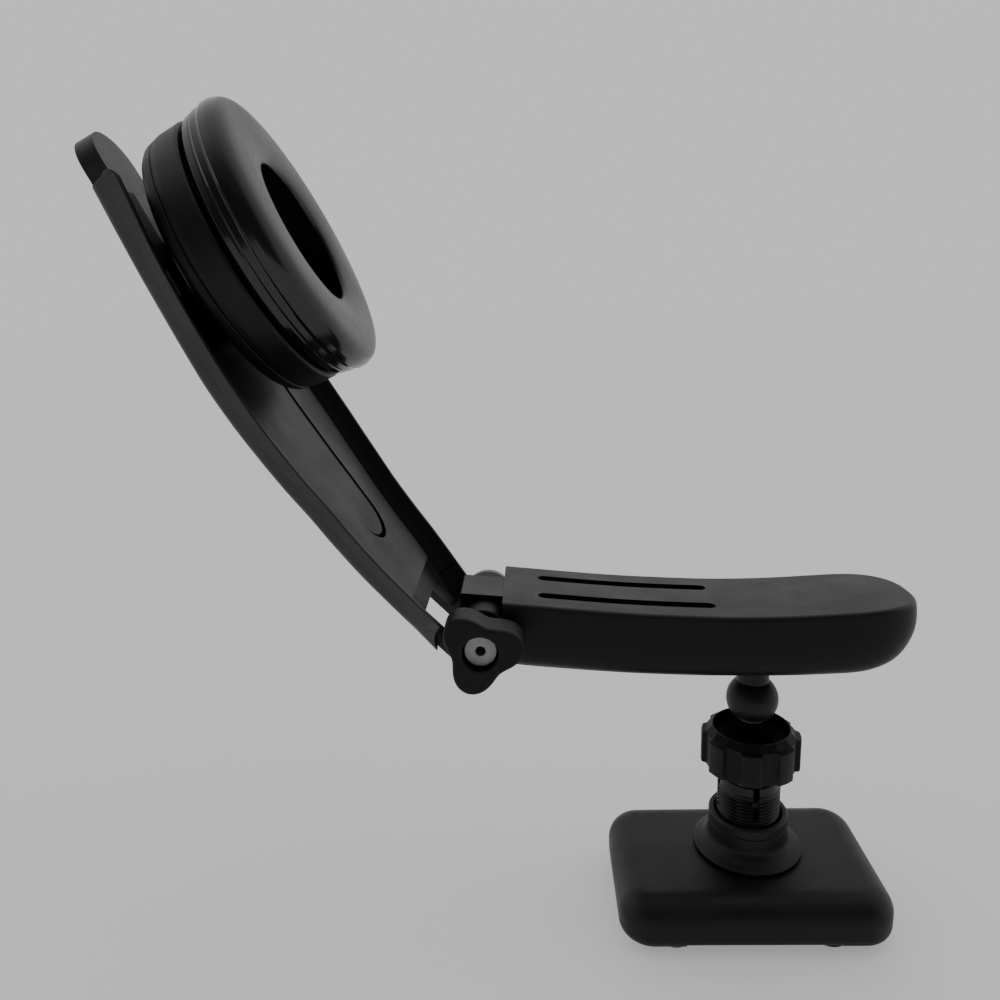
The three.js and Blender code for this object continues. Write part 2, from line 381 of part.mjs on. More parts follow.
  // lever: eye round the stem's pin, flat bar with a rounded finger end
  const top = (u) => -37.9 - 0.04 * Math.max(u, 0);
  let lever = slabY([[3.2, -41.9], [2.4, -40.3], [1.4, -38.7], [0, top(0) - 0.1], [-LEVER.tip, top(LEVER.tip)], [-LEVER.tip, top(LEVER.tip) - LEVER.t + 0.6], [-20, top(20) - LEVER.t], [-8, -45.5], [-3, -45.9], [0.8, -45.8], [2.6, -44.9], [3.3, -43.5]], -LEVER.half, LEVER.half);
  const plan = [[8, -LEVER.half], [8, LEVER.half]];
  for (let i = 0; i <= 14; i++) { const t = (i / 14) * Math.PI; plan.push([-(LEVER.tip - 11) - 11 * Math.sin(t) ** 0.9, LEVER.half * Math.cos(t)]); }
  lever = lever.intersect(slabZ(plan, -60, -30));
  lever = cut(lever, block(-6, 12, -3.6, 3.6, -60, -30), barY(1.74, -20, 20, 0, LEVER.pinS, 24));
  add(head, "suction_lever", lever, satin);
}

export default root;
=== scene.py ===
import bpy
import bmesh
import math
import numpy as np
from mathutils import Matrix, Vector


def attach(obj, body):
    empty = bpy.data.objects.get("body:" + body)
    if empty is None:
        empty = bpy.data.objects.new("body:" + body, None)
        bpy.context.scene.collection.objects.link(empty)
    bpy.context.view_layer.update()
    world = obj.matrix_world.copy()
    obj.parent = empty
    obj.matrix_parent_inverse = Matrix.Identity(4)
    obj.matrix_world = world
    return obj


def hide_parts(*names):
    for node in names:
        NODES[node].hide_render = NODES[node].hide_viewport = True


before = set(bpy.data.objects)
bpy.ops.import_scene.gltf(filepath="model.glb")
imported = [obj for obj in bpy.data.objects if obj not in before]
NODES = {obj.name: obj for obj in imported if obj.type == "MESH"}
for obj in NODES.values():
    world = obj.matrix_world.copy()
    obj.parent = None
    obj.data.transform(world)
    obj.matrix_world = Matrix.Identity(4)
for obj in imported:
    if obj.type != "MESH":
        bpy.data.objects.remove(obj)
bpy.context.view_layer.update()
scene = bpy.context.scene
MM = 0.001
TAU = 2 * math.pi


# ============================================================ camera, light, floor
def make_camera():
    cam = bpy.data.objects.new("camera", bpy.data.cameras.new("camera"))
    scene.collection.objects.link(cam)
    cam.data.sensor_width = 36
    cam.data.lens = 29.894
    cam.data.clip_start, cam.data.clip_end = 0.01, 50
    pitch, yaw, roll = (math.radians(a) for a in (14.18, -2.66, -2.25))
    cp, sp, cy, sy, cr, sr = math.cos(pitch), math.sin(pitch), math.cos(yaw), math.sin(yaw), math.cos(roll), math.sin(roll)
    fwd = Vector((sy * cp, cy * cp, -sp))
    right = Vector((cy, -sy, 0))
    up = right.cross(fwd)
    rx, down = right * cr + up * sr, right * sr - up * cr
    m = Matrix((rx, -down, -fwd)).transposed().to_4x4()
    m.translation = Vector((-0.0703, -0.2574, 0.2101))
    cam.matrix_world = m
    scene.camera = cam


def make_light(name, size, energy, loc, target, size_y=None):
    data = bpy.data.lights.new(name, "AREA")
    data.energy = energy
    data.size = size
    if size_y:
        data.shape, data.size_y = "RECTANGLE", size_y
    o = bpy.data.objects.new(name, data)
    scene.collection.objects.link(o)
    o.location = loc
    o.rotation_mode = "QUATERNION"
    o.rotation_quaternion = (Vector(target) - Vector(loc)).to_track_quat("-Z", "Y")
    return o


BACK = 0.66        # radiance of the studio behind and above the object
FRONT = 0.08       # radiance on the viewer's side
LAMP = 0.70        # radiance of the tall soft boxes at the left and right


def make_world():
    w = bpy.data.worlds.new("studio")
    scene.world = w
    w.use_nodes = True
    nt = w.node_tree
    nt.nodes.clear()
    n, l = nt.nodes.new, nt.links.new
    coord, sep = n("ShaderNodeTexCoord"), n("ShaderNodeSeparateXYZ")
    l(coord.outputs["Generated"], sep.inputs[0])
    side = n("ShaderNodeMapRange")
    side.interpolation_type = "SMOOTHSTEP"
    side.inputs["From Min"].default_value, side.inputs["From Max"].default_value = -0.75, 0.15
    side.inputs["To Min"].default_value, side.inputs["To Max"].default_value = FRONT, BACK
    l(sep.outputs["Y"], side.inputs["Value"])
    top = n("ShaderNodeMapRange")
    top.interpolation_type = "SMOOTHSTEP"
    top.inputs["From Min"].default_value, top.inputs["From Max"].default_value = 0.35, 0.95
    top.inputs["To Min"].default_value, top.inputs["To Max"].default_value = 0.0, 0.22
    l(sep.outputs["Z"], top.inputs["Value"])
    wide = n("ShaderNodeMath")
    wide.operation = "ABSOLUTE"
    l(sep.outputs["X"], wide.inputs[0])
    lamp = n("ShaderNodeMapRange")
    lamp.interpolation_type = "SMOOTHSTEP"
    lamp.inputs["From Min"].default_value, lamp.inputs["From Max"].default_value = 0.70, 0.94
    lamp.inputs["To Min"].default_value, lamp.inputs["To Max"].default_value = 0.0, LAMP
    l(wide.outputs[0], lamp.inputs["Value"])
    both = n("ShaderNodeMath")
    both.operation = "MAXIMUM"
    l(top.outputs[0], both.inputs[0])
    l(lamp.outputs[0], both.inputs[1])
    add = n("ShaderNodeMath")
    add.operation = "MAXIMUM"
    l(side.outputs[0], add.inputs[0])
    l(both.outputs[0], add.inputs[1])
    bg, bg2, mix, path, out = n("ShaderNodeBackground"), n("ShaderNodeBackground"), n("ShaderNodeMixShader"), n("ShaderNodeLightPath"), n("ShaderNodeOutputWorld")
    bg.inputs["Color"].default_value = (1, 1, 1, 1)
    l(add.outputs[0], bg.inputs["Strength"])
    bg2.inputs["Color"].default_value = (1, 1, 1, 1)
    bg2.inputs["Strength"].default_value = SKY
    l(path.outputs["Is Camera Ray"], mix.inputs[0])
    l(bg.outputs[0], mix.inputs[1])
    l(bg2.outputs[0], mix.inputs[2])
    l(mix.outputs[0], out.inputs[0])


SKY = 0.72
FLOOR = 0.80
GLOW = 0.315          # light the paper sweep gives back from the lamps around it


def make_floor():
    s = 6.0
    me = bpy.data.meshes.new("floor")
    k = 24
    xs = np.linspace(-s, s, k + 1)
    verts = [(x, y, -0.0016) for y in xs for x in xs]
    faces = [(j * (k + 1) + i, j * (k + 1) + i + 1, (j + 1) * (k + 1) + i + 1, (j + 1) * (k + 1) + i) for j in range(k) for i in range(k)]
    me.from_pydata(verts, [], faces)
    o = bpy.data.objects.new("floor", me)
    scene.collection.objects.link(o)
    m, nt, bsdf = blank("floor_paper")
    bsdf.inputs["Base Color"].default_value = (FLOOR, FLOOR, FLOOR, 1)
    bsdf.inputs["Roughness"].default_value = 0.95
    bsdf.inputs["Specular IOR Level"].default_value = 0.1
    tex = nt.nodes.new("ShaderNodeTexNoise")
    tex.inputs["Scale"].default_value = 3.0
    ramp = nt.nodes.new("ShaderNodeMapRange")
    ramp.inputs["To Min"].default_value, ramp.inputs["To Max"].default_value = FLOOR * 0.996, FLOOR * 1.004
    nt.links.new(coords(nt), tex.inputs["Vector"])
    nt.links.new(tex.outputs["Fac"], ramp.inputs["Value"])
    nt.links.new(ramp.outputs[0], bsdf.inputs["Base Color"])
    bsdf.inputs["Emission Color"].default_value = (1, 1, 1, 1)
    bsdf.inputs["Emission Strength"].default_value = GLOW
    me.materials.append(m)


# ============================================================ materials
def blank(name):
    m = bpy.data.materials.new(name)
    m.use_nodes = True
    nt = m.node_tree
    nt.nodes.clear()
    out, bsdf = nt.nodes.new("ShaderNodeOutputMaterial"), nt.nodes.new("ShaderNodeBsdfPrincipled")
    nt.links.new(bsdf.outputs[0], out.inputs[0])
    return m, nt, bsdf


def coords(nt, scale=(1, 1, 1), loc=(0, 0, 0)):
    tc, mp = nt.nodes.new("ShaderNodeTexCoord"), nt.nodes.new("ShaderNodeMapping")
    mp.inputs["Scale"].default_value = scale
    mp.inputs["Location"].default_value = loc
    nt.links.new(tc.outputs["Object"], mp.inputs["Vector"])
    return mp.outputs[0]


def noise(nt, vector, scale, detail=2.0, rough=0.55, lo=0.0, hi=1.0, fmin=0.3, fmax=0.7):
    t = nt.nodes.new("ShaderNodeTexNoise")
    t.inputs["Scale"].default_value = scale
    t.inputs["Detail"].default_value = detail
    t.inputs["Roughness"].default_value = rough
    nt.links.new(vector, t.inputs["Vector"])
    r = nt.nodes.new("ShaderNodeMapRange")
    r.inputs["From Min"].default_value, r.inputs["From Max"].default_value = fmin, fmax
    r.inputs["To Min"].default_value, r.inputs["To Max"].default_value = lo, hi
    nt.links.new(t.outputs["Fac"], r.inputs["Value"])
    return r.outputs[0]


def calc(nt, op, a, b):
    n = nt.nodes.new("ShaderNodeMath")
    n.operation = op
    for i, v in enumerate((a, b)):
        if isinstance(v, (int, float)):
            n.inputs[i].default_value = v
        else:
            nt.links.new(v, n.inputs[i])
    return n.outputs[0]


def blend_colors(nt, fac, a, b):
    n = nt.nodes.new("ShaderNodeMix")
    n.data_type = "RGBA"
    nt.links.new(fac, n.inputs[0])
    for sock, v in ((n.inputs[6], a), (n.inputs[7], b)):
        if isinstance(v, tuple):
            sock.default_value = (*v, 1)
        else:
            nt.links.new(v, sock)
    return n.outputs[2]


def edges(nt, lo=0.505, hi=0.56):
    g = nt.nodes.new("ShaderNodeNewGeometry")
    r = nt.nodes.new("ShaderNodeMapRange")
    r.inputs["From Min"].default_value, r.inputs["From Max"].default_value = lo, hi
    nt.links.new(g.outputs["Pointiness"], r.inputs["Value"])
    return r.outputs[0]


def bump(nt, bsdf, height, strength, distance, under=None):
    b = nt.nodes.new("ShaderNodeBump")
    b.inputs["Strength"].default_value = strength
    b.inputs["Distance"].default_value = distance
    nt.links.new(height, b.inputs["Height"])
    if under is not None:
        nt.links.new(under, b.inputs["Normal"])
    nt.links.new(b.outputs[0], bsdf.inputs["Normal"])
    return b.outputs[0]


def plastic(name, color, rough, grain=2400, relief=0.25, depth=1.6e-5, wear=0.35, spec=0.5, marks=0.06, wave=0.0):
    """Moulded plastic: fine eroded grain, slow tone drift, rubbed edges and a few handling marks."""
    m, nt, b = blank(name)
    v = coords(nt)
    drift = noise(nt, v, 28, 3)
    tint = blend_colors(nt, drift, tuple(c * 0.82 for c in color), tuple(c * 1.2 for c in color))
    rub = calc(nt, "MULTIPLY", edges(nt), noise(nt, v, 420, 3, lo=0.1, hi=wear))
    b_color = blend_colors(nt, rub, tint, tuple(min(1, c * 3.2 + 0.012) for c in color))
    nt.links.new(b_color, b.inputs["Base Color"])
    soft = noise(nt, v, 55, 4, lo=-marks, hi=marks)
    fine = noise(nt, v, grain * 0.5, 2, lo=-0.03, hi=0.03)
    streak = noise(nt, coords(nt, (40, 420, 260)), 1.0, 4, 0.6, lo=0.0, hi=-marks * 0.9, fmin=0.60, fmax=0.72)
    r = calc(nt, "ADD", calc(nt, "ADD", soft, fine), rough)
    r = calc(nt, "ADD", r, streak)
    r = calc(nt, "SUBTRACT", r, calc(nt, "MULTIPLY", rub, 0.12))
    nt.links.new(r, b.inputs["Roughness"])
    b.inputs["Specular IOR Level"].default_value = spec
    g = noise(nt, v, grain, 3, 0.6)
    under = None
    if wave:
        low = noise(nt, v, 70, 2)
        w = nt.nodes.new("ShaderNodeBump")
        w.inputs["Strength"].default_value, w.inputs["Distance"].default_value = 0.5, wave
        nt.links.new(low, w.inputs["Height"])
        under = w.outputs[0]
    bump(nt, b, g, relief, depth, under)
    return m


def metal(name, color, rough, turned_about=None, scale=9000, depth=6e-6, direction=(40, 900, 900), tarnish=0.25):
    """Machined steel: turning marks round an axis, or a straight grain, with uneven tarnish."""
    m, nt, b = blank(name)
    v = coords(nt)
    if turned_about:
        (cx, cy, cz), axis = turned_about
        keep = tuple(0.0 if i == axis else 1.0 for i in range(3))
        mp = coords(nt, keep, tuple(-c * k for c, k in zip((cx, cy, cz), keep)))
        ln = nt.nodes.new("ShaderNodeVectorMath")
        ln.operation = "LENGTH"
        nt.links.new(mp, ln.inputs[0])
        cmb = nt.nodes.new("ShaderNodeCombineXYZ")
        nt.links.new(ln.outputs["Value"], cmb.inputs[0])
        grain = noise(nt, cmb.outputs[0], scale, 4, 0.65)
    else:
        grain = noise(nt, coords(nt, direction), 6.0, 5, 0.65)
    spots = noise(nt, v, 260, 4)
    tint = blend_colors(nt, spots, tuple(c * (1 - tarnish) for c in color), color)
    tint = blend_colors(nt, calc(nt, "MULTIPLY", edges(nt), 0.5), tint, tuple(min(1, c * 1.3) for c in color))
    nt.links.new(tint, b.inputs["Base Color"])
    b.inputs["Metallic"].default_value = 1.0
    r = calc(nt, "ADD", noise(nt, v, 120, 3, lo=-0.05, hi=0.07), calc(nt, "MULTIPLY", grain, 0.14))
    nt.links.new(calc(nt, "ADD", r, rough), b.inputs["Roughness"])
    bump(nt, b, grain, 0.35, depth)
    return m


MAT = {}


def zone(m, lo, hi, near, far, socket, direction=None, about_z=False, origin=(0, 0, 0)):
    """Lets one input of a material run from one value to another along a direction, or away from the Z axis."""
    nt = m.node_tree
    bsdf = next(k for k in nt.nodes if k.type == "BSDF_PRINCIPLED")
    if about_z:
        vm = nt.nodes.new("ShaderNodeVectorMath")
        vm.operation = "LENGTH"
        nt.links.new(coords(nt, (1, 1, 0)), vm.inputs[0])
    else:
        vm = nt.nodes.new("ShaderNodeVectorMath")
        vm.operation = "DOT_PRODUCT"
        nt.links.new(coords(nt, (1, 1, 1), tuple(-c for c in origin)), vm.inputs[0])
        vm.inputs[1].default_value = direction
    r = nt.nodes.new("ShaderNodeMapRange")
    r.interpolation_type = "SMOOTHSTEP"
    r.inputs["From Min"].default_value, r.inputs["From Max"].default_value = lo, hi
    r.inputs["To Min"].default_value, r.inputs["To Max"].default_value = near, far
    nt.links.new(vm.outputs["Value"], r.inputs["Value"])
    s_ = bsdf.inputs[socket]
    if socket == "Base Color":
        old = s_.links[0].from_socket
        mul = nt.nodes.new("ShaderNodeVectorMath")
        mul.operation = "SCALE"
        nt.links.new(old, mul.inputs[0])
        nt.links.new(r.outputs[0], mul.inputs["Scale"])
        nt.links.new(mul.outputs[0], s_)
    elif s_.is_linked:
        nt.links.new(calc(nt, "ADD", s_.links[0].from_socket, r.outputs[0]), s_)
    else:
        nt.links.new(r.outputs[0], s_)


def painted_top_sheen(m, wall, top):
    """Painted sheen on a moulding: walls get less specular than the faces that look up, so the tops read lighter."""
    nt = m.node_tree
    bsdf = next(k for k in nt.nodes if k.type == "BSDF_PRINCIPLED")
    g, sep, r = nt.nodes.new("ShaderNodeNewGeometry"), nt.nodes.new("ShaderNodeSeparateXYZ"), nt.nodes.new("ShaderNodeMapRange")
    nt.links.new(g.outputs["Normal"], sep.inputs[0])
    r.interpolation_type = "SMOOTHSTEP"
    r.inputs["From Min"].default_value, r.inputs["From Max"].default_value = 0.05, 0.75
    r.inputs["To Min"].default_value, r.inputs["To Max"].default_value = wall, top
    nt.links.new(sep.outputs["Z"], r.inputs["Value"])
    nt.links.new(r.outputs[0], bsdf.inputs["Specular IOR Level"])


def make_materials():
    MAT["shell"] = plastic("shell_black", (0.0070, 0.0073, 0.0079), 0.44, grain=2600, relief=0.22, depth=1.4e-5, spec=0.44)
    MAT["base"] = plastic("base_black", (0.0068, 0.0071, 0.0076), 0.46, grain=2300, relief=0.28, depth=1.8e-5, spec=0.44)
    MAT["satin"] = plastic("satin_black", (0.0085, 0.0088, 0.0094), 0.40, grain=3400, relief=0.12, depth=1.0e-5)
    MAT["knob"] = plastic("knob_black", (0.0060, 0.0062, 0.0066), 0.50, grain=1900, relief=0.35, depth=2.2e-5, wear=0.6, spec=0.42)
    MAT["nut"] = plastic("nut_black", (0.0062, 0.0064, 0.0068), 0.45, grain=2100, relief=0.30, depth=1.8e-5, wear=0.6)
    MAT["thread"] = plastic("collet_black", (0.0058, 0.0060, 0.0064), 0.36, grain=3200, relief=0.14, depth=1.0e-5, wear=0.55, spec=0.36)
    MAT["band"] = plastic("housing_black", (0.0066, 0.0069, 0.0075), 0.45, grain=2700, relief=0.22, depth=1.4e-5)
    MAT["dish"] = plastic("dish_black", (0.0055, 0.0057, 0.0062), 0.47, grain=2500, relief=0.22, depth=1.4e-5)
    MAT["panel"] = plastic("panel_black", (0.0060, 0.0062, 0.0067), 0.38, grain=3600, relief=0.10, depth=0.8e-5, spec=0.26)
    MAT["cup"] = plastic("cup_gloss", (0.0055, 0.0056, 0.0058), 0.17, grain=1600, relief=0.05, depth=0.6e-5, wear=0.08, spec=0.55, marks=0.035, wave=5.0e-5)
    MAT["flange"] = plastic("flange_black", (0.0062, 0.0065, 0.0070), 0.50, grain=2300, relief=0.25, depth=1.6e-5, spec=0.42)
    # painted shade: the nut liner's material is darker and duller than the other black plastics so it reads as the
    # shaded mouth of the nut
    MAT["bore"] = plastic("bore_painted_shade_black", (0.0032, 0.0033, 0.0035), 0.62, grain=2300, relief=0.25, depth=1.6e-5, spec=0.12)
    MAT["ball"] = plastic("ball_black", (0.0048, 0.0050, 0.0053), 0.46, grain=3400, relief=0.12, depth=1.0e-5, spec=0.32)
    o, ax = Vector(head(0, 0, 0)) * MM, (Vector(head(0, 0, 1)) - Vector(head(0, 0, 0))).normalized()
    # painted shade: the channel's specular falls from 0.36 to 0.10 going from y 6 mm to 24 mm, so its far wall reads
    # darker
    zone(MAT["dish"], 0.006, 0.024, 0.36, 0.10, "Specular IOR Level", direction=(0, 1, 0))
    # painted shade: inside radius 12.4 mm the nut's bore is darkened to 0.35 of its colour and its specular cut to
    # 0.06, so the mouth reads dark
    zone(MAT["nut"], 0.0124, 0.0128, 0.06, 0.20, "Specular IOR Level", about_z=True)
    zone(MAT["nut"], 0.0124, 0.0128, 0.35, 1.0, "Base Color", about_z=True)
    # painted sheen: faces of these mouldings that look up get more specular than their walls
    painted_top_sheen(MAT["shell"], 0.17, 0.52)
    painted_top_sheen(MAT["base"], 0.22, 0.42)
    painted_top_sheen(MAT["knob"], 0.20, 0.50)
    painted_top_sheen(MAT["band"], 0.24, 0.55)
    # the suction face is rougher than the glossy side, a satin finish, and its colour is lifted 2.6 times as a painted
    # sheen
    zone(MAT["cup"], -0.0016, -0.0004, 0.0, 0.15, "Roughness", direction=tuple(ax), origin=tuple(o))
    zone(MAT["cup"], -0.0016, -0.0004, 1.0, 2.6, "Base Color", direction=tuple(ax), origin=tuple(o))
    MAT["rubber"] = plastic("foot_rubber", (0.0070, 0.0070, 0.0073), 0.78, grain=1500, relief=0.45, depth=3.0e-5, wear=0.8)
    MAT["coat"] = plastic("powder_coat", (0.0110, 0.0114, 0.0120), 0.55, grain=900, relief=0.40, depth=4.0e-5, wear=0.5)
    MAT["ballast"] = metal("ballast_steel", (0.22, 0.215, 0.21), 0.48, direction=(60, 700, 700), tarnish=0.45)
    MAT["steel"] = metal("bright_steel", (0.60, 0.60, 0.61), 0.26)
    MAT["disc"] = metal("turned_disc", (0.25, 0.25, 0.257), 0.36, turned_about=((-0.0885, 0, 0.106), 1), tarnish=0.15)
    MAT["stem"] = metal("turned_stem", (0.58, 0.58, 0.59), 0.25, direction=(900, 900, 60))
    MAT["dark_steel"] = metal("dark_steel", (0.060, 0.060, 0.064), 0.38, direction=(500, 500, 500))


# ============================================================ mesh tools (millimetres in, metres out)
def solid(name, verts, faces, merge=1e-7):
    me = bpy.data.meshes.new(name)
    me.from_pydata([(x * MM, y * MM, z * MM) for x, y, z in verts], [], [tuple(int(i) for i in f) for f in faces])
    me.validate()
    bm = bmesh.new()
    bm.from_mesh(me)
    bmesh.ops.remove_doubles(bm, verts=bm.verts, dist=merge)
    bmesh.ops.dissolve_degenerate(bm, dist=merge, edges=bm.edges)
    bmesh.ops.recalc_face_normals(bm, faces=bm.faces)
    bm.to_mesh(me)
    bm.free()
    o = bpy.data.objects.new(name, me)
    scene.collection.objects.link(o)
    return o


def bake(o):
    bpy.context.view_layer.update()
    dg = bpy.context.evaluated_depsgraph_get()
    me = bpy.data.meshes.new_from_object(o.evaluated_get(dg))
    o.modifiers.clear()
    old, o.data = o.data, me
    bpy.data.meshes.remove(old)
    me.name = o.name
    return o


def boolean(o, op, *others):
    for c in others:
        m = o.modifiers.new("cut", "BOOLEAN")
        m.operation, m.object, m.solver = op, c, "EXACT"
    bake(o)
    for c in others:
        bpy.data.objects.remove(c)
    return o


def tidy(o, dist=2e-6):
    bm = bmesh.new()
    bm.from_mesh(o.data)
    bmesh.ops.remove_doubles(bm, verts=bm.verts, dist=dist)
    bmesh.ops.dissolve_degenerate(bm, dist=dist, edges=bm.edges)
    bm.to_mesh(o.data)
    bm.free()
    return o


def dress(o, body, material, nodes=(), sharp=38, bevel=0.0, segments=2, limit=32):
    if bevel:
        m = o.modifiers.new("edge", "BEVEL")
        m.width, m.segments, m.limit_method, m.angle_limit = bevel * MM, segments, "ANGLE", math.radians(limit)
        m.use_clamp_overlap = True
        bake(o)
    o.data.materials.clear()
    o.data.materials.append(MAT[material])
    o.data.polygons.foreach_set("use_smooth", [True] * len(o.data.polygons))
    o.data.set_sharp_from_angle(angle=math.radians(sharp))
    m = o.modifiers.new("normals", "WEIGHTED_NORMAL")
    m.keep_sharp = True
    m.weight = 80
    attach(o, body)
    if nodes:
        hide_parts(*nodes)
    return o


def dress_cad(node, material, sharp=30, bevel=0.0):
    o = NODES[node]
    o.data.materials.clear()
    o.data.materials.append(MAT[material])
    o.data.polygons.foreach_set("use_smooth", [True] * len(o.data.polygons))
    o.data.set_sharp_from_angle(angle=math.radians(sharp))
    if bevel:
        m = o.modifiers.new("edge", "BEVEL")
        m.width, m.segments, m.limit_method, m.angle_limit = bevel * MM, 2, "ANGLE", math.radians(35)


def skin(rings, close=False, cap=True):
    """Faces between successive rings of equal length; close joins the last ring to the first."""
    n, verts, faces = len(rings[0]), [], []
    for r in rings:
        verts.extend(r)
    m = len(rings)
    for i in range(m if close else m - 1):
        a, b = i * n, ((i + 1) % m) * n
        for j in range(n):
            k = (j + 1) % n
            faces.append((a + j, a + k, b + k, b + j))
    if not close and cap:
        faces.append(tuple(range(n)))
        faces.append(tuple((m - 1) * n + j for j in range(n)))
    return verts, faces


def lathe(profile, n=96, at=lambda x, y, z: (x, y, z), phase=0.0):
    """Turned skin from (radius, height) pairs, mapped by at(x, y, height)."""
    closed = not (abs(profile[0][0]) < 1e-9 and abs(profile[-1][0]) < 1e-9)
    verts, rings, faces = [], [], []
    for r, z in profile:
        if abs(r) < 1e-9:
            rings.append([len(verts)])
            verts.append(at(0, 0, z))
        else:
            rings.append(list(range(len(verts), len(verts) + n)))
            verts.extend(at(r * math.cos(phase + TAU * k / n), r * math.sin(phase + TAU * k / n), z) for k in range(n))
    pairs = list(zip(rings, rings[1:])) + ([(rings[-1], rings[0])] if closed else [])
    for a, b in pairs:
        if len(a) == 1 and len(b) == 1:
            continue
        for k in range(n):
            j = (k + 1) % n
            if len(a) == 1:
                faces.append((a[0], b[k], b[j]))
            elif len(b) == 1:
                faces.append((a[k], b[0], a[j]))
            else:
                faces.append((a[k], b[k], b[j], a[j]))
    return verts, faces


def fillet(pts, r=0.4, closed=True, seg=3):
    """Corner rounding of a plane polyline; a third entry in a point is its own radius."""
    out, n = [], len(pts)
    for i, p in enumerate(pts):
        rad = p[2] if len(p) > 2 else r
        b = np.array(p[:2], float)
        if (not closed and i in (0, n - 1)) or rad <= 0:
            out.append(tuple(b))
            continue
        a, c = np.array(pts[i - 1][:2], float), np.array(pts[(i + 1) % n][:2], float)
        u, v = a - b, c - b
        lu, lv = np.linalg.norm(u), np.linalg.norm(v)
        if lu < 1e-9 or lv < 1e-9:
            out.extend([tuple(b)] * (seg + 1))
            continue
        u, v = u / lu, v / lv
        ang = math.acos(max(-1, min(1, float(u @ v))))
        if ang > math.radians(179.5) or ang < math.radians(2):
            out.extend([tuple(b)] * (seg + 1))
            continue
        t = min(rad / math.tan(ang / 2), lu * 0.47, lv * 0.47)
        rr = t * math.tan(ang / 2)
        mid = (u + v) / np.linalg.norm(u + v)
        centre = b + mid * rr / math.sin(ang / 2)
        p0, p1 = b + u * t - centre, b + v * t - centre
        a0, a1 = math.atan2(p0[1], p0[0]), math.atan2(p1[1], p1[0])
        d = (a1 - a0 + math.pi) % TAU - math.pi
        for k in range(seg + 1):
            g = a0 + d * k / seg
            out.append((centre[0] + rr * math.cos(g), centre[1] + rr * math.sin(g)))
    return out


def spline(pts, k=4):
    """Open smooth curve through plane points."""
    p = [np.array(q, float) for q in pts]
    out = []
    for i in range(len(p) - 1):
        a, b, c, d = p[max(i - 1, 0)], p[i], p[i + 1], p[min(i + 2, len(p) - 1)]
        for j in range(k):
            t = j / k
            out.append(tuple(0.5 * (2 * b + (c - a) * t + (2 * a - 5 * b + 4 * c - d) * t * t + (3 * b - a - 3 * c + d) * t ** 3)))
    out.append(tuple(p[-1]))
    return out


def prism(pts, lo, hi, at):
    """Plane outline swept from lo to hi, mapped by at(a, b, height)."""
    n = len(pts)
    verts = [at(a, b, lo) for a, b in pts] + [at(a, b, hi) for a, b in pts]
    faces = [(j, (j + 1) % n, n + (j + 1) % n, n + j) for j in range(n)]
    faces += [tuple(range(n)), tuple(range(n, 2 * n))]
    return verts, faces


def table(rows):
    xs = [r[0] for r in rows]

    def look(x):
        if x <= xs[0]:
            return rows[0][1]
        for i in range(len(rows) - 1):
            if x <= rows[i + 1][0]:
                (x0, y0), (x1, y1) = rows[i], rows[i + 1]
                h = x1 - x0
                t = (x - x0) / h
                m0 = (y1 - rows[i - 1][1]) / (x1 - rows[i - 1][0]) if i > 0 else (y1 - y0) / h
                m1 = (rows[i + 2][1] - y0) / (rows[i + 2][0] - x0) if i + 2 < len(rows) else (y1 - y0) / h
                a, b = t ** 3, t * t
                return (2 * a - 3 * b + 1) * y0 + (a - 2 * b + t) * h * m0 + (3 * b - 2 * a) * y1 + (a - b) * h * m1
        return rows[-1][1]

    return look


UP = lambda x, y, z: (x, y, z)                      # lathe about Z


def along_y(cx, cz):                                # lathe about Y, height is y
    return lambda a, b, h: (cx + a, h, cz + b)


TILT = math.radians(64.89)
CT, ST = math.cos(TILT), math.sin(TILT)


def head(x, y, z):                                  # the head's own frame: x down the arm is -u, z is the suction axis
    return (-137 + CT * x + ST * z, y, 229.2 - ST * x + CT * z)


def screw(name, body, at, head_r, head_h, shank_r, length, node, direction=1, material="dark_steel"):
    """Pan-head screw with a hex recess; the head's outer face is at height 0 and the shank runs along +direction."""
    n, hexr, deep = 48, head_r * 0.5, head_h * 0.7
    d = direction

    def ring(r, z):
        return [at(r * math.cos(TAU * k / n), r * math.sin(TAU * k / n), z * d) for k in range(n)]

    def hexring(r, z):
        out = []
        for k in range(n):
            t = TAU * k / n
            q = (t % (TAU / 6)) - TAU / 12
            rr = r * math.cos(TAU / 12) / math.cos(q)
            out.append(at(rr * math.cos(t), rr * math.sin(t), z * d))
        return out

    rings = [hexring(hexr * 0.2, deep), hexring(hexr * 0.98, deep), hexring(hexr, deep * 0.9), hexring(hexr, 0.12), hexring(hexr * 1.08, 0.0), ring(head_r * 0.8, 0.0), ring(head_r * 0.93, 0.1), ring(head_r, 0.32), ring(head_r, head_h - 0.05), ring(head_r * 0.98, head_h), ring(shank_r * 1.05, head_h), ring(shank_r, head_h + 0.1), ring(shank_r, length - 0.4), ring(shank_r * 0.6, length)]
    v, f = skin(rings)
    return dress(solid(name, v, f), body, material, (node,), sharp=34)


# ============================================================ base
BASE = dict(cx=-2.3, cy=-2.7, hx=44.7, hy=28.8, t=17.5, edge=8.7, corner=11.0, seam=2.9)
BOSS = [(BASE["cx"] + x, BASE["cy"] + y) for x, y in ((-35.5, -13), (35.5, -13), (-35.5, 13), (35.5, 13))]
FEET = {"front_left": (-1, -1), "front_right": (1, -1), "rear_left": (-1, 1), "rear_right": (1, 1)}


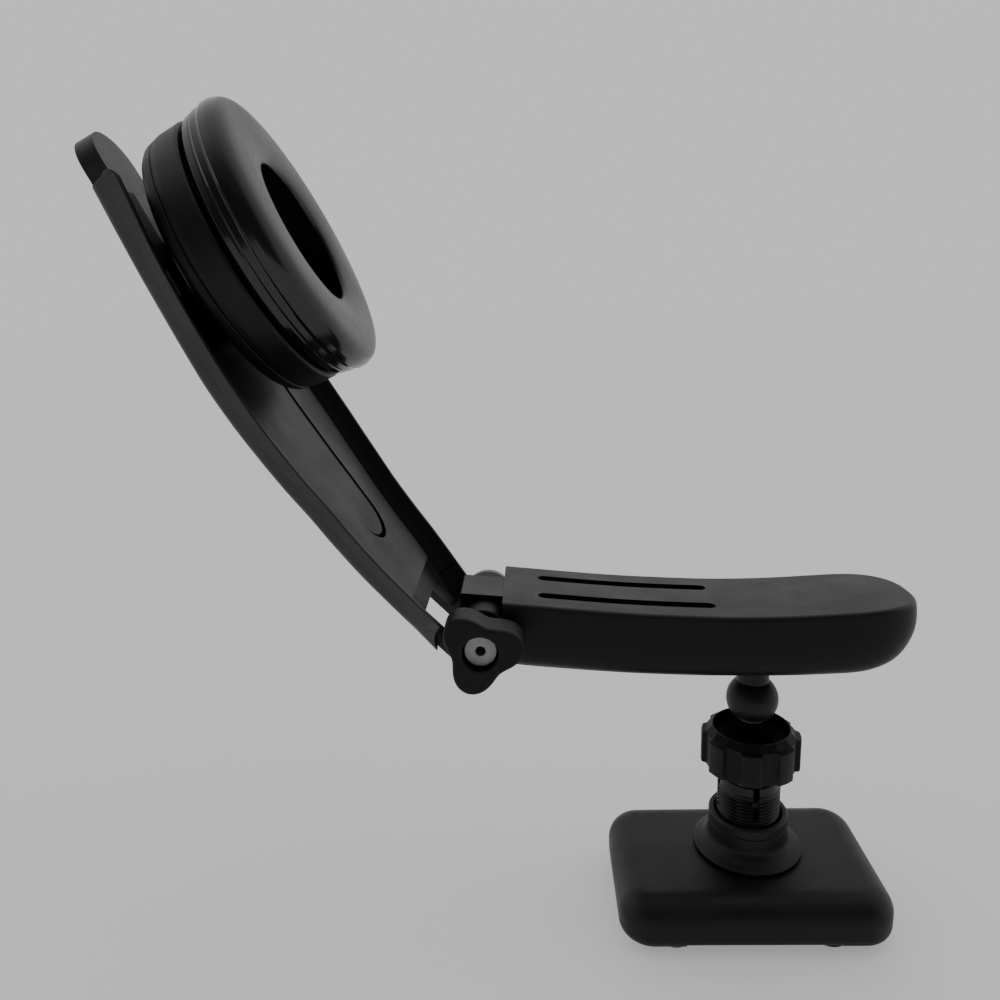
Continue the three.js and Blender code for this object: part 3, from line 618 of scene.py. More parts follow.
def base_ring(d, z, n=14, relief=0.0):
    """Rounded rectangle inset by d, with points along its straight sides; relief pulls the front's middle in."""
    hx, hy, r = BASE["hx"] - d, BASE["hy"] - d, max(BASE["corner"] - d, 2.3)
    pts = []
    fx = [-26.6, -26.1, -25.7, -18, -9, 0, 9, 18, 23.5, 23.9, 24.4]
    for (sx, sy, a0) in ((1, -1, -90), (1, 1, 0), (-1, 1, 90), (-1, -1, 180)):
        for i in range(n + 1):
            a = math.radians(a0 + 90 * i / n)
            pts.append((sx * (hx - r) + r * math.cos(a), sy * (hy - r) + r * math.sin(a)))
        if (sx, sy) == (1, -1):
            pts.extend((hx, y) for y in (-8, 0, 8))
        elif (sx, sy) == (1, 1):
            pts.extend((x - BASE["cx"], hy) for x in reversed(fx))
        elif (sx, sy) == (-1, 1):
            pts.extend((-hx, y) for y in (8, 0, -8))
        else:
            pts.extend((x - BASE["cx"], -hy) for x in fx)
    out = []
    for x, y in pts:
        X, Y = x + BASE["cx"], y + BASE["cy"]
        if relief and y < -hy + 0.01 and -26.0 < X < 23.8:
            Y += relief
        out.append((X, Y, z))
    return out


def make_base():
    e, low = BASE["edge"], 5.0
    under = lambda z: low - math.sqrt(max(0.0, low * low - (low - min(z, low)) ** 2))
    rings = [base_ring(under(z) + (0.3 if z < 2.95 else 0), z) for z in (2.92, 3.02, 3.2, 3.6, 4.1, 5.0, 6.2, 7.5)]
    rings += [base_ring(e * (1 - math.cos(a)), BASE["t"] - e + e * math.sin(a)) for a in np.linspace(0, math.pi / 2 * 0.985, 24)]
    rings[-1] = base_ring(e * 0.98, BASE["t"] - 0.02)
    rings.append(base_ring(e * 1.12, BASE["t"]))
    rings.append(base_ring(e * 1.6, BASE["t"]))
    v, f = skin(rings)
    dress(solid("base_shell_moulding", v, f), "base", "base", ("base_shell",), sharp=50)

    zs = [0.0, 0.15, 0.4, 0.8, 1.3, 1.9, 2.4, 2.72, 2.8]
    rings = [base_ring(under(z) + (0.3 if z > 2.75 else 0.0), z, relief=0.5) for z in zs]
    rings.insert(0, base_ring(low + 4, 0.0))
    p = solid("base_plate_pressing", *skin(rings))
    cuts = []
    for i, (x, y) in enumerate(BOSS):
        cuts.append(solid("c", *lathe([(0, -1), (3.1, -1), (3.1, 1.3), (1.75, 1.3), (1.75, 5), (0, 5)], 48, lambda a, b, h, x=x, y=y: (x + a, y + b, h))))
    for sx, sy in FEET.values():
        x, y = BASE["cx"] + sx * 25.5 - 0.9, BASE["cy"] + sy * 19
        cuts.append(solid("c", *lathe([(0, -1), (6.25, -1), (6.25, 1.5), (0, 1.5)], 72, lambda a, b, h, x=x, y=y: (x + a, y + b, h))))
    boolean(p, "DIFFERENCE", *cuts)
    dress(tidy(p), "base", "coat", ("base_plate",), sharp=32)

    for name, (sx, sy) in FEET.items():
        x, y = BASE["cx"] + sx * 25.5 - 0.9, BASE["cy"] + sy * 19
        prof = fillet([(0, 1.2), (6.0, 1.2, 0.2), (6.0, -1.1, 0.6), (5.4, -1.6, 0.5), (4.3, -1.6, 0.15), (4.1, -1.25, 0.1), (3.6, -1.25, 0.1), (3.4, -1.6, 0.15), (0, -1.6)], closed=False)
        v, f = lathe(prof, 72, lambda a, b, h, x=x, y=y: (x + a, y + b, h))
        dress(solid("foot_pad_" + name, v, f), "base", "rubber", ("foot_" + name,), sharp=40)
    for i, (x, y) in enumerate(BOSS):
        screw(f"plate_screw_{i + 1}_pan", "base", lambda a, b, h, x=x, y=y: (x + a, y + b, 0.2 + h), 2.7, 0.8, 0.95, 8.5, f"plate_screw_{i + 1}")
    dress_cad("base_ballast", "ballast", bevel=0.4)


# ============================================================ socket, nut, ball
def make_socket():
    prof = fillet([(3.3, 17.8, 0.2), (17.6, 17.8, 0.15), (17.9, 18.2, 0.3), (18.3, 18.45, 0.25), (18.25, 18.95, 0.25), (17.3, 19.4, 1.2), (15.4, 20.2, 3.0), (13.45, 22.6, 4.0), (13.3, 27.85, 0.15), (13.1, 28.05, 0.1), (3.3, 28.05, 0.2)], 0.3, seg=5)
    dress(solid("socket_flange_turned", *lathe(prof, 144)), "base", "flange", ("socket_flange",), sharp=40)
    prof = fillet([(11.1, 28.12, 0.1), (13.1, 28.12, 0.1), (13.3, 28.32, 0.15), (13.3, 31.3, 0.5), (12.8, 32.0, 0.35), (11.7, 32.0, 0.3), (11.1, 31.4, 0.3)], 0.3, seg=5)
    dress(solid("socket_collar_turned", *lathe(prof, 144)), "base", "flange", ("socket_collar",), sharp=40)

    # collet: V thread on the lower part, plain nose above, four jaws
    n, pitch, deep = 120, 1.36, 0.75
    z0, z1, R = 31.6, 41.6, 10.5

    def ring_at(z):
        out = []
        for k in range(n):
            t = TAU * k / n
            q = ((z - z0) / pitch - k / n) % 1.0
            d = deep * min(1.0, max(0.0, 1.3 * (1 - abs(2 * q - 1)) - 0.22))
            d *= min(1.0, max(0.0, (z - z0) / 0.7)) * min(1.0, max(0.0, (z1 - z) / 0.7))
            out.append(((R - d) * math.cos(t), (R - d) * math.sin(t), z))
        return out

    circ = lambda r, z: [(r * math.cos(TAU * k / n), r * math.sin(TAU * k / n), z) for k in range(n)]
    rings = [circ(3.4, 28.3), circ(10.75, 28.3), circ(10.9, 28.5), circ(10.9, 29.8), circ(10.8, 30.0), circ(10.6, 30.4), circ(R, 30.7), circ(R, z0)]
    rings += [ring_at(z) for z in np.arange(z0 + 0.12, z1, 0.17)]
    rings += [circ(R, z1), circ(R, z1 + 0.4), circ(10.15, z1 + 0.8), circ(10.1, z1 + 1.2), circ(10.1, 45.1), circ(9.95, 45.6), circ(9.6, 45.9), circ(9.3, 46.0), circ(9.1, 45.95), circ(8.92, 45.7), circ(8.9, 44.2)]
    for i in range(1, 12):
        t = 1.12 * i / 11
        rings.append(circ(8.78 * math.cos(t), 44 - 8.78 * math.sin(t)))
    rings += [circ(3.5, 35.7), circ(3.4, 35.4)]
    v, f = skin(rings, close=True)
    c = solid("collet_threaded", v, f)
    cuts = []
    for a in (0.0, math.pi / 2):
        g = a - math.pi / 2
        ux, uy = math.cos(g), math.sin(g)
        box = [(-14, -1.1), (14, -1.1), (14, 1.1), (-14, 1.1)]
        cuts.append(solid("c", *prism(box, 33.5, 53.5, lambda p, q, h, ux=ux, uy=uy: (p * ux - q * uy, p * uy + q * ux, h))))
    boolean(c, "DIFFERENCE", *cuts)
    dress(tidy(c), "base", "thread", ("collet",), sharp=42)
    dress_cad("socket_bolt", "steel", bevel=0.2)

    # locking nut: eight chamfered ribs on a bevelled barrel
    half = [(0, 16.4), (0.07, 16.4), (0.14, 16.38), (0.18, 16.33), (0.195, 16.22), (0.203, 16.05), (0.208, 15.8), (0.222, 15.25), (0.228, 15.06), (0.236, 14.96), (0.25, 14.9), (0.29, 14.86), (0.34, 14.83), (0.3927, 14.82)]
    offs = [-d for d, _ in reversed(half[1:])] + [d for d, _ in half[:-1]]
    rad = [r for _, r in reversed(half[1:])] + [r for _, r in half[:-1]]
    ang, base_r = [], []
    for i in range(8):
        c0 = math.radians(-12.7 - 90) + i * TAU / 8
        for o_, r in zip(offs, rad):
            ang.append(c0 + o_)
            base_r.append(r)
    m = len(ang)

    def nut_ring(z, cap, floor=0.0):
        return [(max(min(r, cap), floor) * math.cos(t), max(min(r, cap), floor) * math.sin(t), z) for t, r in zip(ang, base_r)]

    flat = lambda r, z: [(r * math.cos(t), r * math.sin(t), z) for t in ang]
    facet = lambda r, z: [(r * math.cos(TAU / 32) / math.cos((t - math.radians(-102.7) + TAU / 32) % (TAU / 16) - TAU / 32) * math.cos(t),
                           r * math.cos(TAU / 32) / math.cos((t - math.radians(-102.7) + TAU / 32) % (TAU / 16) - TAU / 32) * math.sin(t), z) for t in ang]
    rings = [flat(10.95, 49.85), flat(11.2, 49.8), flat(13.6, 49.8), nut_ring(49.8, 14.6), nut_ring(49.82, 15.2), nut_ring(49.9, 16.0), nut_ring(50.0, 16.25), nut_ring(50.2, 16.4),
             nut_ring(52.6, 16.4), nut_ring(56, 16.4), nut_ring(60.7, 16.4), nut_ring(60.95, 16.34), nut_ring(61.15, 16.15), nut_ring(61.35, 15.6), nut_ring(61.5, 15.05), nut_ring(61.55, 14.86), facet(14.85, 61.6),
             facet(14.8, 61.68), facet(14.68, 61.85), facet(13.5, 63.2), facet(13.2, 63.5), flat(12.95, 63.72), flat(12.8, 63.8), flat(12.6, 63.77), flat(12.45, 63.6), flat(12.4, 63.3), flat(12.4, 60.4),
             flat(12.38, 60.2), flat(12.35, 54.05), flat(12.2, 54.0), flat(11.1, 54.0), flat(10.95, 53.9), flat(10.92, 53.7)]
    # inner screw thread below the step
    th = []
    for z in np.arange(53.4, 50.2, -0.17):
        th.append([((10.93 + 0.45 * min(1, max(0, 1.3 * (1 - abs(2 * (((z - 50) / pitch - t / TAU) % 1.0) - 1)) - 0.2))) * math.cos(t),
                    (10.93 + 0.45 * min(1, max(0, 1.3 * (1 - abs(2 * (((z - 50) / pitch - t / TAU) % 1.0) - 1)) - 0.2))) * math.sin(t), z) for t in ang])
    v, f = skin(rings + th, close=True)
    dress(solid("lock_nut_ribbed", v, f), "nut", "nut", ("lock_nut",), sharp=32)
    prof = fillet([(11.05, 54.3, 0.2), (12.06, 54.3, 0.1), (12.06, 59.9, 0.2), (11.6, 60.0, 0.25), (11.05, 59.3, 0.3)], 0.2, seg=4)
    # the liner takes the painted-shade bore material
    dress(solid("nut_liner_ring", *lathe(prof, 96)), "nut_carrier", "bore", ("nut_liner",), sharp=50)

    # ball and neck
    prof = [(2.65, 74 - 8.08)]
    a0 = math.asin(2.65 / 8.5)
    for i in range(1, 48):
        a = a0 + (math.pi - 2 * a0) * i / 48
        prof.append((8.5 * math.sin(a), 74 - 8.5 * math.cos(a)))
    prof += [(2.65, 74 + 8.08), (2.6, 74 + 7.6), (2.6, 74 - 7.6)]
    dress(solid("ball_sphere", *lathe(prof, 112)), "ball", "ball", ("ball",), sharp=40)
    dress_cad("ball_core", "steel")
    rr, prof = 8.53, []
    for i in range(9):
        r = 5.25 * i / 8
        prof.append((r, 74 + math.sqrt(rr * rr - r * r)))
    prof += [(5.3, 81.0), (5.15, 82.2), (5.0, 83.6), (5.05, 86), (5.2, 90.9), (5.3, 91.6), (5.3, 92.1), (5.1, 92.2), (3.6, 92.2), (3.5, 92.3)]
    for i in range(0, 60):
        z = 93.0 + i * 0.205
        prof.append((3.5 - 0.22 * (0.5 + 0.5 * math.cos(TAU * z / 0.82)), z))
    prof += [(3.45, 105.5), (3.1, 106.0), (0, 106.1)]
    prof[9] = (5.3, prof[8][1] + 0.12)
    dress(solid("ball_neck", *lathe(prof, 96)), "stud", "ball", ("ball_stud",), sharp=40)
    dress_cad("stud_nut", "steel", bevel=0.25)


# ============================================================ lower arm
ARM_W = 18.5
HX, HZ = -88.5, 106.0
topZ = table([[-97, 118.4], [-82, 116.8], [-62, 114.5], [-45, 112.7], [-27, 111.3], [-10, 110.4], [7, 110.3], [25, 110.9], [38, 111.5], [48, 111.4], [51.5, 111.2]])
bottomZ = table([[-97, 95.3], [-82, 94.3], [-75, 93.3], [-60, 91.7], [-45, 90.3], [-30, 89.3], [-15, 88.6], [7, 88.2], [22, 88.5], [29, 88.8], [33, 89.2], [38.5, 90.1], [45, 91.7], [51.5, 94]])


def make_lower_arm():
    rows = [[0, 6.2, 39.5], [0.012, 5.3, 40.7], [0.04, 4.05, 42.2], [0.075, 3.0, 43.5], [0.11, 2.2, 44.6], [0.16, 1.45, 45.7], [0.22, 0.9, 46.6], [0.3, 0.5, 47.6], [0.4, 0.2, 48.4], [0.5, 0.06, 49.0], [0.62, 0, 49.28], [0.75, 0, 49.25], [0.87, 0, 49.0],
            [0.93, 0.05, 48.8], [0.965, 0.22, 48.5], [0.985, 0.5, 48.1], [0.997, 0.9, 47.7], [1.0, 1.35, 47.2]]
    xs = list(np.linspace(-82, 18, 44))
    rings = []
    for v, inset, tip in rows:
        w, x0, path = ARM_W - inset, 22.0, [(x, ARM_W - inset) for x in xs]
        for i in range(27):
            t = (i / 26) * math.pi / 2 * 0.992
            e = 2 / 2.7
            path.append((x0 + (tip - x0) * math.sin(t) ** e, w * math.cos(t) ** e))
        z = lambda x: bottomZ(x) + (topZ(x) - bottomZ(x)) * v
        rings.append([(x, y, z(x)) for x, y in path] + [(x, -y, z(x)) for x, y in reversed(path)])
    # strips across the two end rings keep the long faces curved
    n = len(rings[0])
    v, f = skin(rings, cap=False)
    h = n // 2
    for base in (0, (len(rings) - 1) * n):
        for j in range(h - 1):
            f.append((base + j, base + j + 1, base + n - 2 - j, base + n - 1 - j))
    o = solid("lower_arm_moulding", v, f)

    tongue = fillet([(-78, 115.15, 0), (-82, 115.66, 0), (-90, 116.45, 0), (-96, 117.05, 0.9), (-96, 112, 4), (-95.6, 108, 4), (-94.2, 101.2, 5), (-91.6, 98, 4), (-86, 96.3, 4), (-78, 95.5, 0)], 1.0, seg=6)
    t = solid("c", *prism(tongue, -9, 9, lambda a, b, h: (a, h, b)))
    boolean(o, "UNION", t)

    def under(xa, xb, dz, lift, k=12):
        p = [(x, topZ(x) - dz) for x in np.linspace(xa, xb, k)]
        return p + [(x, bottomZ(x) + lift) for x in np.linspace(xb, xa, k)]

    disc = lambda r, y0, y1, n_=96: solid("c", *lathe([(0, y0), (r, y0), (r, y1), (0, y1)], n_, along_y(HX, HZ)))
    cuts = [disc(9.3, -30, -9), disc(9.3, 9, 30), disc(5.3, -40, 40, 64)]
    cuts.append(solid("c", *prism(under(-74, 33, 2.6, 5.2), -16.1, 16.1, lambda a, b, h: (a, h, b))))
    cuts.append(solid("c", *prism(under(-70, 30, 5, -6), -11.2, 11.2, lambda a, b, h: (a, h, b))))
    for y in (-8.15, 8.15):
        pill = [(-68.7 + 2.2 * math.cos(a), y + 2.2 * math.sin(a)) for a in np.linspace(math.pi / 2, 1.5 * math.pi, 17)]
        pill += [(-17 + 2.2 * math.cos(a), y + 2.2 * math.sin(a)) for a in np.linspace(-math.pi / 2, math.pi / 2, 17)]
        cuts.append(solid("c", *prism(pill, 104.5, 121, UP)))
    for c in cuts:
        boolean(o, "DIFFERENCE", c)
    boss = solid("c", *lathe([(3.6, 92.5), (8, 92.5), (8, 102.2), (3.6, 102.2)], 72))
    web = solid("c", *prism([(-1.3, -16.6), (1.3, -16.6), (1.3, 16.6), (-1.3, 16.6)], 95.5, 102.2, UP))
    boolean(web, "DIFFERENCE", solid("c", *lathe([(0, 90), (6, 90), (6, 104), (0, 104)], 48)))
    boolean(o, "UNION", web)
    boolean(o, "UNION", boss)
    for x in (-52, 22):
        post = solid("c", *lathe([(1.3, bottomZ(x) + 2.5), (3.1, bottomZ(x) + 2.5), (3.1, topZ(x) - 1.6), (1.3, topZ(x) - 1.6)], 40, lambda a, b, h, x=x: (x + a, b, h)))
        boolean(o, "UNION", post)
    dress(tidy(o), "lower_arm", "shell", ("lower_arm",), sharp=32, bevel=0.28, segments=2, limit=40)

    # belly cover: curved strip with softened rim, stud hole and countersunk screw seats
    k, hw = 48, 10.9
    rings = []
    for x in np.linspace(-69.5, 29.5, k):
        zb = bottomZ(x)
        e = 0.35
        rings.append([(x, -hw, zb + 2.1), (x, -hw, zb + 0.1 + e), (x, -hw + e * 0.35, zb + 0.1 + e * 0.35), (x, -hw + e, zb + 0.1), (x, 0, zb + 0.1), (x, hw - e, zb + 0.1), (x, hw - e * 0.35, zb + 0.1 + e * 0.35), (x, hw, zb + 0.1 + e), (x, hw, zb + 2.1), (x, 0, zb + 2.1)])
    c = solid("lower_arm_cover_moulding", *skin(rings))
    boolean(c, "DIFFERENCE", solid("c", *lathe([(0, 80), (5.8, 80), (5.8, 100), (0, 100)], 64)))
    for x in (-52, 22):
        zb = bottomZ(x)
        boolean(c, "DIFFERENCE", solid("c", *lathe([(0, 80), (3.0, 80), (3.0, zb + 1.1), (1.7, zb + 1.1), (1.7, 100), (0, 100)], 48, lambda a, b, h, x=x: (x + a, b, h))))
    dress(tidy(c), "lower_arm", "shell", ("lower_arm_cover",), sharp=32)
    for i, x in enumerate((-52, 22)):
        z = bottomZ(x)
        screw(f"arm_screw_{i + 1}_pan", "lower_arm", lambda a, b, h, x=x, z=z: (x + a, b, z + 0.15 + h), 2.6, 0.65, 0.95, 8.0, f"arm_screw_{i + 1}")


# ============================================================ hinge
def make_hinge():
    Y = along_y(HX, HZ)
    dress(solid("hinge_bushing_turned", *lathe(fillet([(3.15, -9, 0.2), (5.0, -9, 0.3), (5.0, 9, 0.3), (3.15, 9, 0.2)]), 64, Y)), "lower_arm", "steel", ("hinge_bushing",))
    prof = fillet([(0, -23.4), (0.9, -23.6, 0), (2.5, -24.2, 0.3), (3.05, -23.6, 0.2), (3.05, 19.8, 0), (8, 19.8, 0.25), (8, 22.4, 0.5), (7.4, 23, 0.3), (3.4, 23, 0.15), (3.0, 21.8, 0.1), (0, 21.8)], 0.2, closed=False, seg=4)
    dress(solid("hinge_bolt_turned", *lathe(prof, 112, Y)), "lower_arm", "disc", ("hinge_bolt",))
    dress(solid("washer_far_turned", *lathe(fillet([(3.4, 18.7), (7, 18.7), (7, 19.5), (3.4, 19.5)], 0.15), 72, Y)), "lower_arm", "disc", ("washer_far",))
    dress(solid("washer_near_turned", *lathe(fillet([(3.4, -19.6), (6.6, -19.6), (6.6, -18.7), (3.4, -18.7)], 0.15), 72, Y)), "lower_arm", "dark_steel", ("washer_near",))

    n = 144
    def lobes(inset, y, blend=0.0):
        out = []
        for k in range(n):
            t = TAU * k / n
            r = 11.1 + 2.4 * math.cos(3 * (t - math.radians(11)))
            r = (r - inset) * (1 - blend) + 5.5 * blend
            out.append(Y(r * math.cos(t), r * math.sin(t), y))
        return out
    ring = lambda r, y: [Y(r * math.cos(TAU * k / n), r * math.sin(TAU * k / n), y) for k in range(n)]
    e = 1.15
    rings = [ring(5.5, -19.95), ring(6.9, -19.95), ring(7.0, -20.1), ring(7.0, -21.9), ring(7.4, -22.0), lobes(1.9, -22.0), lobes(0.9, -22.0), lobes(0.35, -22.2), lobes(0.08, -22.5), lobes(0, -22.9)]
    rings += [lobes(0, y) for y in (-24, -26, -28, -30)]
    rings += [lobes(e * (1 - math.cos(a)), -32 + e * (1 - math.sin(a))) for a in np.linspace(0.12, math.pi / 2, 8)]
    rings += [lobes(e + 0.8, -32.0), lobes(e + 0.8, -32.0, 0.5), ring(5.95, -32.0), ring(5.75, -31.95), ring(5.58, -31.8), ring(5.5, -31.5), ring(5.5, -28), ring(5.5, -22)]
    v, f = skin(rings, close=True)
    dress(solid("hinge_knob_moulding", v, f), "knob", "knob", ("hinge_knob",), sharp=40)
    prof = fillet([(3.35, -22.5, 0.1), (3.35, -24.6, 0.1), (1.35, -24.6, 0.05), (1.35, -28.7, 0), (1.62, -29.0, 0), (4.75, -29.0, 0.15), (5.15, -28.6, 0.15), (5.15, -22.5, 0.1)], 0.1, seg=3)
    dress(solid("knob_insert_turned", *lathe(prof, 112, Y)), "knob", "disc", ("knob_insert",))


# ============================================================ upper arm
rimHalf = table([[-119, 30.2], [-113, 32], [-105, 34], [-95, 35.8], [-83, 37.5], [-73, 39], [-63, 41], [-53, 42.5], [-40, 43.4], [-25, 43.6], [0, 42.9], [15, 41.9], [29, 40.4]])
rimS = table([[-119, -15.1], [-113, -16.3], [-105, -17.9], [-95, -20], [-83, -22.1], [-73, -23.4], [-63, -24.8], [-53, -26], [-40, -27.4], [-25, -28.3], [-10, -28.5], [5, -28.3], [18, -27.5], [29, -26.9]])
floorS = table([[-119, -22.5], [-113, -23.6], [-105, -25.1], [-95, -27.1], [-83, -29.1], [-73, -30.4], [-63, -31.8], [-53, -33], [-40, -34.5], [-25, -35.5], [29, -35.5]])
HS, HU = -8.4, -132.1


def make_upper_arm():
    us = [-119, -118.4] + list(np.linspace(-117.5, 24.5, 64)) + [25.3, 26.1, 26.9, 27.6, 28.2, 28.6, 28.85, 29.0]
    rings = []
    for u in us:
        yr, sr, sf = rimHalf(u), rimS(u), floorS(u)
        yf = yr - 6.7
        lose = 0.0
        if u > 26.0:                                # rounded corner of the flank's end
            q = min(1.0, (u - 26.0) / 3.0)
            lose = 2.6 * (1 - math.sqrt(max(0.0, 1 - q * q)))
        sr2 = sr - lose
        d = sr - sf
        out = fillet([(0, sf - 2), (yf * 0.5, sf - 2, 0), (yf + 0.7, sf - 2, 4.5), (yf + 4.0, sf + d * 0.45, 5.0), (yr - 0.02, sr2 - 0.25, 0.35), (yr - 0.45, sr2, 0)], 0.5, closed=False, seg=5)
        inn = fillet([(0, sf), (yf * 0.5, sf, 0), (yf - 1.3, sf, 3.2), (yf + 2.1, sf + d * 0.5, 4.0), (yr - 2.0, sr2 - 0.25, 0.35), (yr - 1.55, sr2, 0)], 0.5, closed=False, seg=5)
        a = [head(-u, -y, s) for y, s in reversed(out)] + [head(-u, y, s) for y, s in out[1:]]
        b = [head(-u, -y, s) for y, s in reversed(inn)] + [head(-u, y, s) for y, s in inn[1:]]
        rings.append(a + b[::-1])
    n = len(rings[0])
    v, f = skin(rings, cap=False)
    h = n // 2
    for base in (0, (len(rings) - 1) * n):
        for j in range(h - 1):
            f.append((base + j, base + j + 1, base + n - 2 - j, base + n - 1 - j))
    o = solid("upper_arm_dish", v, f)

    wings = []
    for mirror in (1, -1):
      rings = []
      for u in list(np.linspace(-118.6, -128.1, 14)) + [-128.5, -128.8, -129.0]:
        e = -119 - u
        yr, sr, sf = 30.2 - 0.3 * e, -15.1 + 0.2 * e, -22.5 + 0.18 * e
        yf, q = yr - 6.7, min(1.0, max(0.0, (e - 8.6) / 1.45))
        sr -= 1.3 * (1 - math.sqrt(max(0.0, 1 - q * q)))
        dd = sr - sf
        out = fillet([(18.8, sf - 2), (yf + 0.7, sf - 2, 4.5), (yf + 4.0, sf + dd * 0.45, 5.0), (yr - 0.02, sr - 0.25, 0.35), (yr - 0.45, sr, 0)], 0.5, closed=False, seg=5)
        inn = fillet([(18.8, sf), (yf - 1.3, sf, 3.2), (yf + 2.1, sf + dd * 0.5, 4.0), (yr - 2.0, sr - 0.25, 0.35), (yr - 1.55, sr, 0)], 0.5, closed=False, seg=5)
        rings.append([head(-u, mirror * y, h) for y, h in out] + [head(-u, mirror * y, h) for y, h in inn[::-1]])
      m2 = len(rings[0])
      v, f = skin(rings, cap=False)
      for base in (0, (len(rings) - 1) * m2):
        for j in range(m2 // 2 - 1):
            f.append((base + j, base + j + 1, base + m2 - 2 - j, base + m2 - 1 - j))
      wings.append(solid("c", v, f))
    boolean(wings[1], "DIFFERENCE", solid("c", *lathe([(0, -40), (14.3, -40), (14.3, -15), (0, -15)], 96, lambda a, b, hh: head(-HU + a, hh, HS + b))))
    for w in wings:
        boolean(o, "UNION", w)
    d, nrm = (0.3155, -0.949), (-0.949, -0.3155)
    P0 = (-22.6, -119.5)
    foot = (P0[0] + 16.4 * d[0], P0[1] + 16.4 * d[1])
    pt = lambda o_, a, b=0.0: (-(o_[1] + a * d[1] + b * nrm[1]), o_[0] + a * d[0] + b * nrm[0])
    axis = (HS, HU)
    plate = [pt(P0, -5.5), pt(foot, 3.6), pt(foot, 3.6, 2.5), pt(P0, -5.5, 2.5)]
    web = [pt(axis, -6.5, 0), pt(axis, 6.0, 0), pt(foot, 3.6, 0.4), pt(foot, -8, 0.4)]
    for y0, y1 in ((-18.4, -9.3), (9.3, 18.4)):
        lug = solid("c", *lathe([(0, y0), (8.3, y0), (8.7, y0 + 0.4), (8.7, y1 - 0.4), (8.3, y1), (0, y1)], 96, lambda a, b, hh: head(-HU + a, hh, HS + b)))
        pl = solid("c", *prism(plate, y0 + 0.02, y1 - 0.02, lambda a, b, hh: head(a, hh, b)))
        wb = solid("c", *prism(web, y0 + 0.04, y1 - 0.04, lambda a, b, hh: head(a, hh, b)))
        boolean(lug, "UNION", wb)
        boolean(lug, "UNION", pl)
        boolean(o, "UNION", lug)
    box = lambda x0, x1, y0, y1, z0, z1: solid("c", *prism([(x0, y0), (x1, y0), (x1, y1), (x0, y1)], z0, z1, head))
    cuts = [solid("c", *lathe([(0, -30), (3.15, -30), (3.15, 30), (0, 30)], 64, lambda a, b, hh: head(-HU + a, hh, HS + b)))]
    for y0, y1 in ((21, 33.5), (-33.5, -21)):
        r = fillet([(-5.5, y0), (2.5, y0), (2.5, y1), (-5.5, y1)], 1.2, seg=5)
        cuts.append(solid("c", *prism(r, -45, -30.2, head)))
    notch = fillet([(-40, -13.2, 0), (-14, -13.2, 2.5), (-14, 13.2, 2.5), (-40, 13.2, 0)], 2.5, seg=6)
    cuts.append(solid("c", *prism(notch, -45, -30, head)))
    cuts.append(solid("c", *lathe([(0, -45), (3.9, -45), (3.9, -30), (0, -30)], 64, head)))
    for u, y in ((0, -14), (0, 14), (-13.5, 0)):
        cuts.append(solid("c", *lathe([(0, -45), (1.7, -45), (1.7, -30), (0, -30)], 40, lambda a, b, hh, u=u, y=y: head(-u + a, y + b, hh))))
    for c in cuts:
        boolean(o, "DIFFERENCE", c)
    dress(tidy(o), "upper_arm", "dish", ("upper_arm",), sharp=34, bevel=0.25, segments=2, limit=45)

    # liner plate on the channel's floor with a long recess, and the inset strip in it
    def strip(name, us_, half, lo, hi, edge=0.3):
        rings = []
        for u in us_:
            w, sf = half(u), floorS(u)
            e = min(edge, w * 0.4)
            end = min(1.0, (u - us_[0]) / max(edge, 1e-6))
            cut = e * 0.7 * (1 - math.sqrt(max(0.0, 1 - (1 - end) ** 2))) if edge else 0.0
            sec = [(-w, lo), (-w, hi - e - cut), (-w + e * 0.3, hi - e * 0.3 - cut), (-w + e, hi - cut)] + [(q, hi - cut) for q in np.linspace(-w + 2 * e, w - 2 * e, 7)] + [(w - e, hi - cut), (w - e * 0.3, hi - e * 0.3 - cut), (w, hi - e - cut), (w, lo)] + [(q, lo) for q in np.linspace(w * 0.6, -w * 0.6, 3)]
            rings.append([head(-u, y, sf + h) for y, h in sec])
        return solid(name, *skin(rings))

    def rounded(u0, half):
        def look(u):
            q = min(1.0, max(0.0, (u - u0) / half))
            return half * math.sqrt(max(0.003, 1 - (1 - q) ** 2))
        return look

    tip = [-111, -110.9, -110.7, -110.4, -110, -109.4]
    liner = strip("arm_floor_liner", tip + list(np.linspace(-108.5, -22, 84)), lambda u: rimHalf(u) - 10.9 - 1.4 * (1 - math.sqrt(max(0.0, 1 - (1 - min(1.0, (u + 111) / 1.6)) ** 2))), 0.32, 2.4, 0.35)
    grow = lambda u0, r: [u0 + r * (1 - math.cos(a)) for a in np.linspace(0.0, math.pi / 2, 18)]
    hole = strip("c", grow(-93.4, 10.85) + list(np.linspace(-81.5, -18, 60)), rounded(-93.4, 10.85), -1.0, 5.0, 0.0)
    boolean(liner, "DIFFERENCE", hole)
    dress(tidy(liner), "upper_arm", "panel", ("arm_floor_cover",), sharp=36, bevel=0.18, segments=2, limit=50)
    inset = strip("arm_floor_inset", grow(-91.9, 10.7) + list(np.linspace(-80.5, -22, 56)), rounded(-91.9, 10.7), 0.34, 2.0, 0.5)
    dress(inset, "upper_arm", "panel", ("arm_floor_trim",), sharp=36)
    for i, (u, y) in enumerate(((0, -14), (0, 14), (-13.5, 0))):
        screw(f"head_screw_{i + 1}_pan", "upper_arm", lambda a, b, hh, u=u, y=y: head(-u + a, y + b, -39.6 + hh), 2.7, 1.8, 1.35, 8.4, f"head_screw_{i + 1}")


